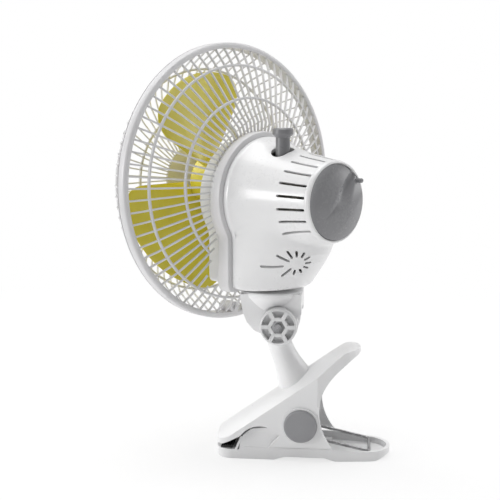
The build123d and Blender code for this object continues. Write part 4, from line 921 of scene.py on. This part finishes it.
class OBJECT_OT_fan_spring(bpy.types.Operator):
    """Double torsion spring of one smooth wire."""

    bl_idname = "object.fan_spring"
    bl_label = "Spring"

    def execute(self, context):
        """Right half from the cross-bar to the leg's end, then its mirror image, as one wire."""
        start = leg_angle(SPRING_END, SPRING_Z, -1)
        end = leg_angle(*UPPER_LEG, 1)
        total = (start - end) % (2 * pi) + 6 * pi
        coil = []
        for k in range(220):
            share = k / 219
            a = start - total * share
            coil.append(Vector((COIL_X - COIL_PITCH * total / (2 * pi) * share, PIVOT_Y + COIL_R * cos(a),
                                PIVOT_Z + COIL_R * sin(a))))
        corner = Vector((COIL_X, PIVOT_Y + SPRING_END, SPRING_Z))
        along = (corner - coil[0]).normalized()
        bend = []
        for k in range(13):
            t = k / 12
            a, c = corner - Vector((LEG_BEND, 0, 0)), corner - along * LEG_BEND
            bend.append(a * (1 - t) ** 2 + corner * (2 * t * (1 - t)) + c * t * t)
        leg_end = Vector((coil[-1].x, PIVOT_Y + UPPER_LEG[0], UPPER_LEG[1]))
        legs = [bend[-1].lerp(coil[0], k / 12) for k in range(1, 12)]
        tops = [coil[-1].lerp(leg_end, k / 12) for k in range(1, 13)]
        half = bend + legs + coil + tops
        mirrored = [Vector((-p.x, p.y, p.z)) for p in reversed(half)]
        wire = Bars()
        tube(wire, mirrored + half, WIRE_R)
        piece = wire.make("spring_wire", WORLD, sharp=60)
        paint(piece, "spring")
        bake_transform(piece)
        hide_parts("torsion_spring")
        return {"FINISHED"}


# ---- user's settings ----
class FanSettings(bpy.types.PropertyGroup):
    """Sizes and colours that a user of the clip fan would change."""

    shell_colour: bpy.props.FloatVectorProperty(
        name="Shell", description="Colour of the white plastic parts", subtype="COLOR", size=4,
        min=0, max=1, default=(0.80, 0.80, 0.805, 1))
    blade_colour: bpy.props.FloatVectorProperty(
        name="Blades", description="Colour of the fan blades", subtype="COLOR", size=4,
        min=0, max=1, default=(0.75, 0.66, 0.065, 1))
    knob_colour: bpy.props.FloatVectorProperty(
        name="Speed knob", description="Colour of the rear knob and the pivot caps", subtype="COLOR",
        size=4, min=0, max=1, default=(0.24, 0.24, 0.25, 1))
    rib_count: bpy.props.IntProperty(
        name="Ribs", description="Ribs of each guard", min=36, max=120, default=72)
    rib_width: bpy.props.FloatProperty(
        name="Rib width", description="Width of a guard rib, in millimetres", min=0.8, max=2.5, default=1.15)
    rib_height: bpy.props.FloatProperty(
        name="Rib height", description="Height of a guard rib, in millimetres", min=1.0, max=3.5, default=1.7)
    floor_size: bpy.props.FloatProperty(
        name="Floor", description="Side of the studio floor", subtype="DISTANCE", unit="LENGTH",
        min=1.0, max=20.0, default=8.0)


FINISHES = {}


def finish(name):
    """One of the object's finishes, made when it is first asked for."""
    if name in FINISHES:
        return FINISHES[name]
    fan = bpy.context.scene.clip_fan
    shell, knob, blade = tuple(fan.shell_colour), tuple(fan.knob_colour), tuple(fan.blade_colour)
    makers = {
        "white_shell": lambda: plastic(name, dark(shell, 0.98), dark(shell, 0.94), rough=0.30, spread=0.05,
                                       grain=0.5, ripple=1.0, coat=0.25),
        # Guards: the shell's white plastic darkened to about 0.86 of it. This is painted shade that greys the
        # rim and ribs as if they stood in shadow.
        "shaded_white_guard": lambda: plastic(name, (shell[0] * 0.86, shell[1] * 0.85, shell[2] * 0.86, 1),
                                       dark(shell, 0.80), rough=0.34, spread=0.08, grain=0.6, ripple=0.3),
        "white_clip": lambda: plastic(name, dark(shell, 1.07), dark(shell, 1.03), rough=0.34, spread=0.07,
                                      grain=1.2, ripple=0.8),
        "grey_cap": lambda: plastic(name, dark(knob, 1.25), dark(knob, 1.15), rough=0.42, spread=0.08,
                                    grain=1.6, ripple=0.4, worn=dark(knob, 1.9)),
        "grey_knob": lambda: plastic(name, dark(knob, 1.12), dark(knob, 1.04), rough=0.24, spread=0.07,
                                     grain=0.5, ripple=0.6, worn=dark(knob, 2.0), wear=1.0),
        "grey_pull": lambda: plastic(name, dark(knob, 0.9), dark(knob, 0.8), rough=0.30, spread=0.07,
                                     grain=0.6, ripple=0.5, worn=dark(knob, 1.6)),
        "pale_knob": lambda: plastic(name, dark(shell, 0.94), dark(shell, 0.88), rough=0.34, spread=0.08,
                                     grain=1.0, ripple=0.5),
        "blade": lambda: plastic(name, blade, (blade[0] * 0.93, blade[1] * 0.90, blade[2] * 0.8, 1),
                                 rough=0.22, spread=0.06, grain=0.3, ripple=1.2, worn=dark(blade, 1.15),
                                 coat=0.2),
        "nylon": lambda: plastic(name, (0.74, 0.71, 0.62, 1), (0.68, 0.64, 0.54, 1), rough=0.38, spread=0.10,
                                 grain=0.8, ripple=0.4),
        "lead": lambda: plastic(name, (0.03, 0.03, 0.035, 1), (0.05, 0.05, 0.05, 1), rough=0.45, spread=0.1,
                                grain=0.6, ripple=0.6),
        "pad": lambda: rubber(name, (0.030, 0.030, 0.031, 1)),
        "grommet": lambda: rubber(name, (0.05, 0.05, 0.052, 1)),
        "spring": lambda: metal(name, (0.46, 0.46, 0.47, 1), (0.16, 0.155, 0.15, 1), rough=0.26, spread=0.15,
                                scratch=0.8, worn=(0.42, 0.42, 0.43, 1)),
        "zinc": lambda: metal(name, (0.62, 0.63, 0.64, 1), (0.40, 0.40, 0.38, 1), rough=0.30, spread=0.18,
                              scratch=0.7),
        "dark_zinc": lambda: metal(name, (0.33, 0.33, 0.34, 1), (0.12, 0.12, 0.12, 1), rough=0.30,
                                   spread=0.18, scratch=0.9),
        "ground_steel": lambda: metal(name, (0.60, 0.60, 0.61, 1), (0.44, 0.44, 0.45, 1), rough=0.18,
                                      spread=0.08, scratch=1.0, stretch=(0.06, 1, 1)),
        "lamination": lambda: metal(name, (0.30, 0.31, 0.33, 1), (0.20, 0.16, 0.13, 1), rough=0.45,
                                    spread=0.15, scratch=1.6, stretch=(0.2, 3.0, 0.2)),
        "copper": lambda: metal(name, (0.72, 0.30, 0.13, 1), (0.45, 0.13, 0.05, 1), rough=0.32, spread=0.15,
                                scratch=1.4, stretch=(2.0, 0.15, 2.0)),
        "cast_metal": lambda: metal(name, (0.52, 0.53, 0.55, 1), (0.36, 0.36, 0.37, 1), rough=0.48,
                                    spread=0.15, scratch=2.4),
        "bronze": lambda: metal(name, (0.62, 0.40, 0.19, 1), (0.34, 0.20, 0.09, 1), rough=0.34, spread=0.15,
                                scratch=1.2),
    }
    FINISHES[name] = makers[name]()
    return FINISHES[name]


NODE_FINISH = {
    "white_shell": ["rear_housing", "front_housing"],
    "shaded_white_guard": ["rear_guard", "front_guard", "badge"],
    "white_clip": ["yoke", "post", "upper_lever", "lower_lever"],
    "grey_cap": ["pivot_caps"],
    "grey_knob": ["speed_knob"],
    "grey_pull": ["oscillation_knob"],
    "pale_knob": ["tilt_knob"],
    "blade": ["fan_blade"],
    "pad": ["upper_pad", "lower_pad"],
    "spring": ["torsion_spring"],
    "zinc": ["guard_screw", "housing_screws", "motor_screws", "post_screws", "swivel_washer", "swivel_nut",
             "swivel_post"],
    "dark_zinc": ["tilt_nut", "tilt_bolt"],
    "ground_steel": ["motor_shaft", "clutch_spindle", "pivot_pin"],
    "lamination": ["stator_core", "rotor_core"],
    "copper": ["stator_windings"],
    "nylon": ["worm_wheel", "crank_gear", "gearbox_case", "gearbox_cover", "blade_cap", "crank_link"],
    "cast_metal": ["motor_front_bracket", "motor_rear_bracket"],
    "bronze": ["motor_bearings"],
    "lead": ["switch_leads", "switch_body"],
    "grommet": ["cord_inlet"],
}


# Frame pieces whose edges are rounded, with the width of the round in millimetres.
SOFTENED = {"yoke": 0.4, "post": 0.4, "upper_lever": 0.4, "lower_lever": 0.4, "pivot_caps": 0.3,
            "oscillation_knob": 0.3, "tilt_nut": 0.2, "upper_pad": 0.15, "lower_pad": 0.15}


def paint(obj, name):
    """Gives an object one finish."""
    obj.data.materials.clear()
    obj.data.materials.append(finish(name))


class OBJECT_OT_fan_frame(bpy.types.Operator):
    """Give every piece of the frame its finish and soften its edges."""

    bl_idname = "object.fan_frame"
    bl_label = "Frame pieces"

    def execute(self, context):
        """Finish for each node, and a small round on the edges of the plastic ones."""
        named = sorted(n for names in NODE_FINISH.values() for n in names)
        if named != sorted(NODES):
            raise RuntimeError("a frame piece has no finish: %s" % sorted(set(NODES) ^ set(named)))
        for name, nodes in NODE_FINISH.items():
            for key in nodes:
                obj = NODES[key]
                for slot in obj.material_slots:
                    slot.link = "OBJECT"
                    slot.material = finish(name)
                if not obj.material_slots:
                    obj.data.materials.append(finish(name))
        for key, width in SOFTENED.items():
            soft = NODES[key].modifiers.new("round", "BEVEL")
            soft.width, soft.segments = width * MM, 2
            soft.limit_method, soft.angle_limit = "ANGLE", radians(34)
        return {"FINISHED"}


# ---- guards ----
RIB_END, RIM_STEPS = 92.0, 240
HOOP_SECTION = (1.7, 2.0)
REAR_HOOPS, FRONT_HOOPS = (57.6, 79.5), (50.0, 78.0)
HOOP_OPENING = 80.0  # degrees that the inner rear hoop leaves open for the neck
COLLAR_OUT = 3.5  # collar outside the housing's outline
FRONT_RIB = 0.8  # front ribs to the rear ones
SCREW_BOSS = (4.0, 1.55, -88.0)  # radius, bore and height over the fan axis


class OBJECT_OT_fan_guards(bpy.types.Operator):
    """Rear and front guard of round-edged ribs and hoops."""

    bl_idname = "object.fan_guards"
    bl_label = "Guards"

    def execute(self, context):
        """Both cages, on the frame's own rim, bowls and collar."""
        fan = context.scene.clip_fan
        rear = Bars()
        bowl_ribs(rear, REAR_BOWL, fan.rib_count, lambda a: rib_start(a, COLLAR_OUT) - 1.2, RIB_END,
                  fan.rib_width, fan.rib_height)
        bowl_hoop(rear, REAR_BOWL, REAR_HOOPS[0], *HOOP_SECTION, opening=HOOP_OPENING)
        bowl_hoop(rear, REAR_BOWL, REAR_HOOPS[1], *HOOP_SECTION)
        rear.lathe([(RIM_IN, 0.15), (94.6, 0.15), (RIM_OUT, 0.6), (RIM_OUT, 5.0), (94.7, 5.7), (94.0, 6.3),
                    (93.2, 6.5), (91.6, 6.5), (91.1, 6.2), (RIM_IN, 5.6)], RIM_STEPS)
        keyhole_band(rear, [(COLLAR_OUT, 28.4), (COLLAR_OUT, 37.0), (3.2, 37.7), (2.6, 38.0), (-1.8, 38.0),
                            (-1.8, 33.8), (1.5, 33.6), (1.5, 28.0), (2.0, 27.6), (3.0, 27.6)], COLLAR_END)
        self.screw_boss(rear, 0.1, 6.4)
        piece = rear.make("rear_guard_cage", HEAD, sharp=40)
        paint(piece, "shaded_white_guard")
        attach(piece, "head")
        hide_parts("rear_guard")
        front = Bars()
        bowl = FRONT_BOWL[::-1]
        bowl_ribs(front, bowl, fan.rib_count, lambda a: 23.0, RIB_END, fan.rib_width * FRONT_RIB,
                  fan.rib_height * FRONT_RIB)
        for radius in FRONT_HOOPS:
            bowl_hoop(front, bowl, radius, *HOOP_SECTION)
        front.lathe([(RIM_IN, -0.15), (RIM_IN, -4.6), (91.4, -5.0), (91.8, -4.9), (94.6, -1.0),
                     (RIM_OUT, -0.5), (RIM_OUT, -0.15)], RIM_STEPS)
        front.lathe([(18.0, -37.0), (18.0, -39.0), (24.1, -39.0), (24.5, -38.6), (24.5, -37.4),
                     (24.1, -37.0)], 120)
        self.screw_boss(front, -4.9, -0.1)
        piece = front.make("front_guard_cage", HEAD, sharp=40)
        paint(piece, "shaded_white_guard")
        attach(piece, "head")
        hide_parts("front_guard")
        return {"FINISHED"}

    def screw_boss(self, bars, front, rear):
        """Ring for the screw at the bottom of the rim."""
        out, bore, z = SCREW_BOSS
        stops = [2 * pi * k / 32 for k in range(32)]
        loop = [(out, front), (out, rear), (bore, rear), (bore, front)]
        bars.sweep(stops, lambda k, a: [spot(r * cos(a), d, z + r * sin(a)) for r, d in loop], closed=True)


# ---- studio ----
LAMP_AIM = (0, 0, 0.13)
LAMPS = [("left_lamp", (-0.9, -1.5, 0.9), 1.2, 10.0), ("right_lamp", (-0.8, 1.6, 0.9), 1.2, 8.0),
         ("top_lamp", (-0.1, -0.1, 1.7), 1.2, 17.0), ("front_lamp", (0.75, -1.55, 0.40), 0.5, 9.0)]


def add_lamp(name, place, size, power):
    """Square soft lamp, aimed at the middle of the fan."""
    data = bpy.data.lights.new(name, "AREA")
    data.shape = "RECTANGLE"
    data.size = data.size_y = size
    data.energy = power
    lamp = bpy.data.objects.new(name, data)
    lamp.location = place
    lamp.rotation_mode = "QUATERNION"
    lamp.rotation_quaternion = (Vector(LAMP_AIM) - Vector(place)).to_track_quat("-Z", "Y")
    bpy.context.scene.collection.objects.link(lamp)


def seen(tree):
    """1 for camera, mirror and glass rays, 0 for the rays that light the object."""
    path = tree.nodes.new("ShaderNodeLightPath")
    both = maths(tree, "MAXIMUM", path.outputs["Is Camera Ray"], path.outputs["Is Glossy Ray"])
    return maths(tree, "MAXIMUM", both, path.outputs["Is Transmission Ray"])


class OBJECT_OT_fan_studio(bpy.types.Operator):
    """Pale floor, soft lamps, white backdrop and the camera."""

    bl_idname = "object.fan_studio"
    bl_label = "Studio"

    def execute(self, context):
        """Stage round the fan."""
        scene = context.scene
        self.floor(scene.clip_fan.floor_size)
        world = bpy.data.worlds.new("studio")
        scene.world = world
        world.use_nodes = True
        tree = world.node_tree
        back = next(n for n in tree.nodes if n.type == "BACKGROUND")
        back.inputs["Color"].default_value = (1, 1, 1, 1)
        self.room(tree, back)
        for lamp in LAMPS:
            add_lamp(*lamp)
        self.camera(scene)
        scene.view_settings.view_transform = "Standard"
        return {"FINISHED"}

    def room(self, tree, back):
        """White to the eye; to the surfaces it lights, bright on both sides and dim behind the camera."""
        path = tree.nodes.new("ShaderNodeLightPath")
        towards = node(tree, "ShaderNodeVectorMath", operation="DOT_PRODUCT")
        towards.inputs[1].default_value = (0.96, 0.20, -0.18)
        tree.links.new(node(tree, "ShaderNodeTexCoord").outputs["Generated"], towards.inputs[0])
        light = mapped(tree, towards.outputs["Value"], -0.1, 0.95, 0.61, 0.12)
        eye = path.outputs["Is Camera Ray"]
        rest = maths(tree, "MULTIPLY", light, maths(tree, "SUBTRACT", 1.0, eye))
        tree.links.new(maths(tree, "ADD", rest, eye), back.inputs["Strength"])

    def camera(self, scene):
        """Camera at the photograph's viewing angle."""
        data = bpy.data.cameras.new("camera")
        data.lens, data.sensor_width = 72.14, 36.0
        data.clip_start, data.clip_end = 0.05, 50.0
        cam = bpy.data.objects.new("camera", data)
        rim = HEAD @ Vector((0, -RIM_SET, 0))
        away, up, distance = radians(7.55), radians(4.02), 0.7
        cam.location = rim + Vector((cos(away) * cos(up), sin(away) * cos(up), sin(up))) * distance
        turn, pitch = away + pi - radians(1.23), -radians(7.92)
        look = Vector((cos(pitch) * cos(turn), cos(pitch) * sin(turn), sin(pitch)))
        cam.rotation_mode = "QUATERNION"
        cam.rotation_quaternion = look.to_track_quat("-Z", "Y")
        scene.collection.objects.link(cam)
        scene.camera = cam

    def floor(self, size):
        """Pale floor that keeps the fan's shadow and turns white with distance."""
        n = 24
        step, row = size / n, n + 1
        verts = [((i - n / 2) * step, (j - n / 2) * step, 0) for j in range(row) for i in range(row)]
        faces = [(j * row + i, j * row + i + 1, (j + 1) * row + i + 1, (j + 1) * row + i)
                 for j in range(n) for i in range(n)]
        floor = add_object("floor", verts, faces, Matrix.Translation((0, 0, -0.0002)))
        made, tree, shader = new_finish("floor")
        out = next(n for n in tree.nodes if n.type == "OUTPUT_MATERIAL")
        shader.inputs["Roughness"].default_value = 0.7
        shader.inputs["Specular IOR Level"].default_value = 0.2
        place = node(tree, "ShaderNodeTexCoord").outputs["Object"]
        paint_tone = mixed(tree, noise(tree, place, 260.0, 4.0), (0.86, 0.86, 0.86, 1), (0.90, 0.90, 0.90, 1))
        tree.links.new(paint_tone, shader.inputs["Base Color"])
        white = node(tree, "ShaderNodeEmission")
        far = node(tree, "ShaderNodeVectorMath", operation="LENGTH")
        tree.links.new(place, far.inputs[0])
        fade = mapped(tree, far.outputs["Value"], 0.12, 0.7, 0.72, 1.0)
        blend = node(tree, "ShaderNodeMixShader")
        tree.links.new(maths(tree, "MULTIPLY", fade, seen(tree)), blend.inputs[0])
        tree.links.new(shader.outputs[0], blend.inputs[1])
        tree.links.new(white.outputs[0], blend.inputs[2])
        tree.links.new(blend.outputs[0], out.inputs["Surface"])
        floor.data.materials.append(made)


class VIEW3D_PT_clip_fan(bpy.types.Panel):
    """Lists the steps that dress the fan."""

    bl_idname = "VIEW3D_PT_clip_fan"
    bl_label = "Clip fan"
    bl_space_type = "VIEW_3D"
    bl_region_type = "UI"
    bl_category = "Clip fan"

    def draw(self, context):
        """One row for each setting and each operator."""
        for key in ("shell_colour", "blade_colour", "knob_colour", "rib_count", "rib_width", "rib_height",
                    "floor_size"):
            self.layout.prop(context.scene.clip_fan, key)
        for step in STEPS:
            self.layout.operator(step.bl_idname)


STEPS = [OBJECT_OT_fan_frame, OBJECT_OT_fan_guards, OBJECT_OT_fan_rear_housing, OBJECT_OT_fan_speed_knob,
         OBJECT_OT_fan_tilt_knob, OBJECT_OT_fan_blades, OBJECT_OT_fan_spring, OBJECT_OT_fan_studio]
CLASSES = [FanSettings, *STEPS, VIEW3D_PT_clip_fan]


def register():
    """Add the classes and the settings."""
    for made in CLASSES:
        bpy.utils.register_class(made)
    bpy.types.Scene.clip_fan = bpy.props.PointerProperty(type=FanSettings)


def unregister():
    """Take the classes and the settings away again."""
    del bpy.types.Scene.clip_fan
    for made in reversed(CLASSES):
        bpy.utils.unregister_class(made)


def main():
    """Run every step."""
    register()
    for step in STEPS:
        area, name = step.bl_idname.split(".")
        getattr(getattr(bpy.ops, area), name)()


if __name__ == "__main__":
    main()
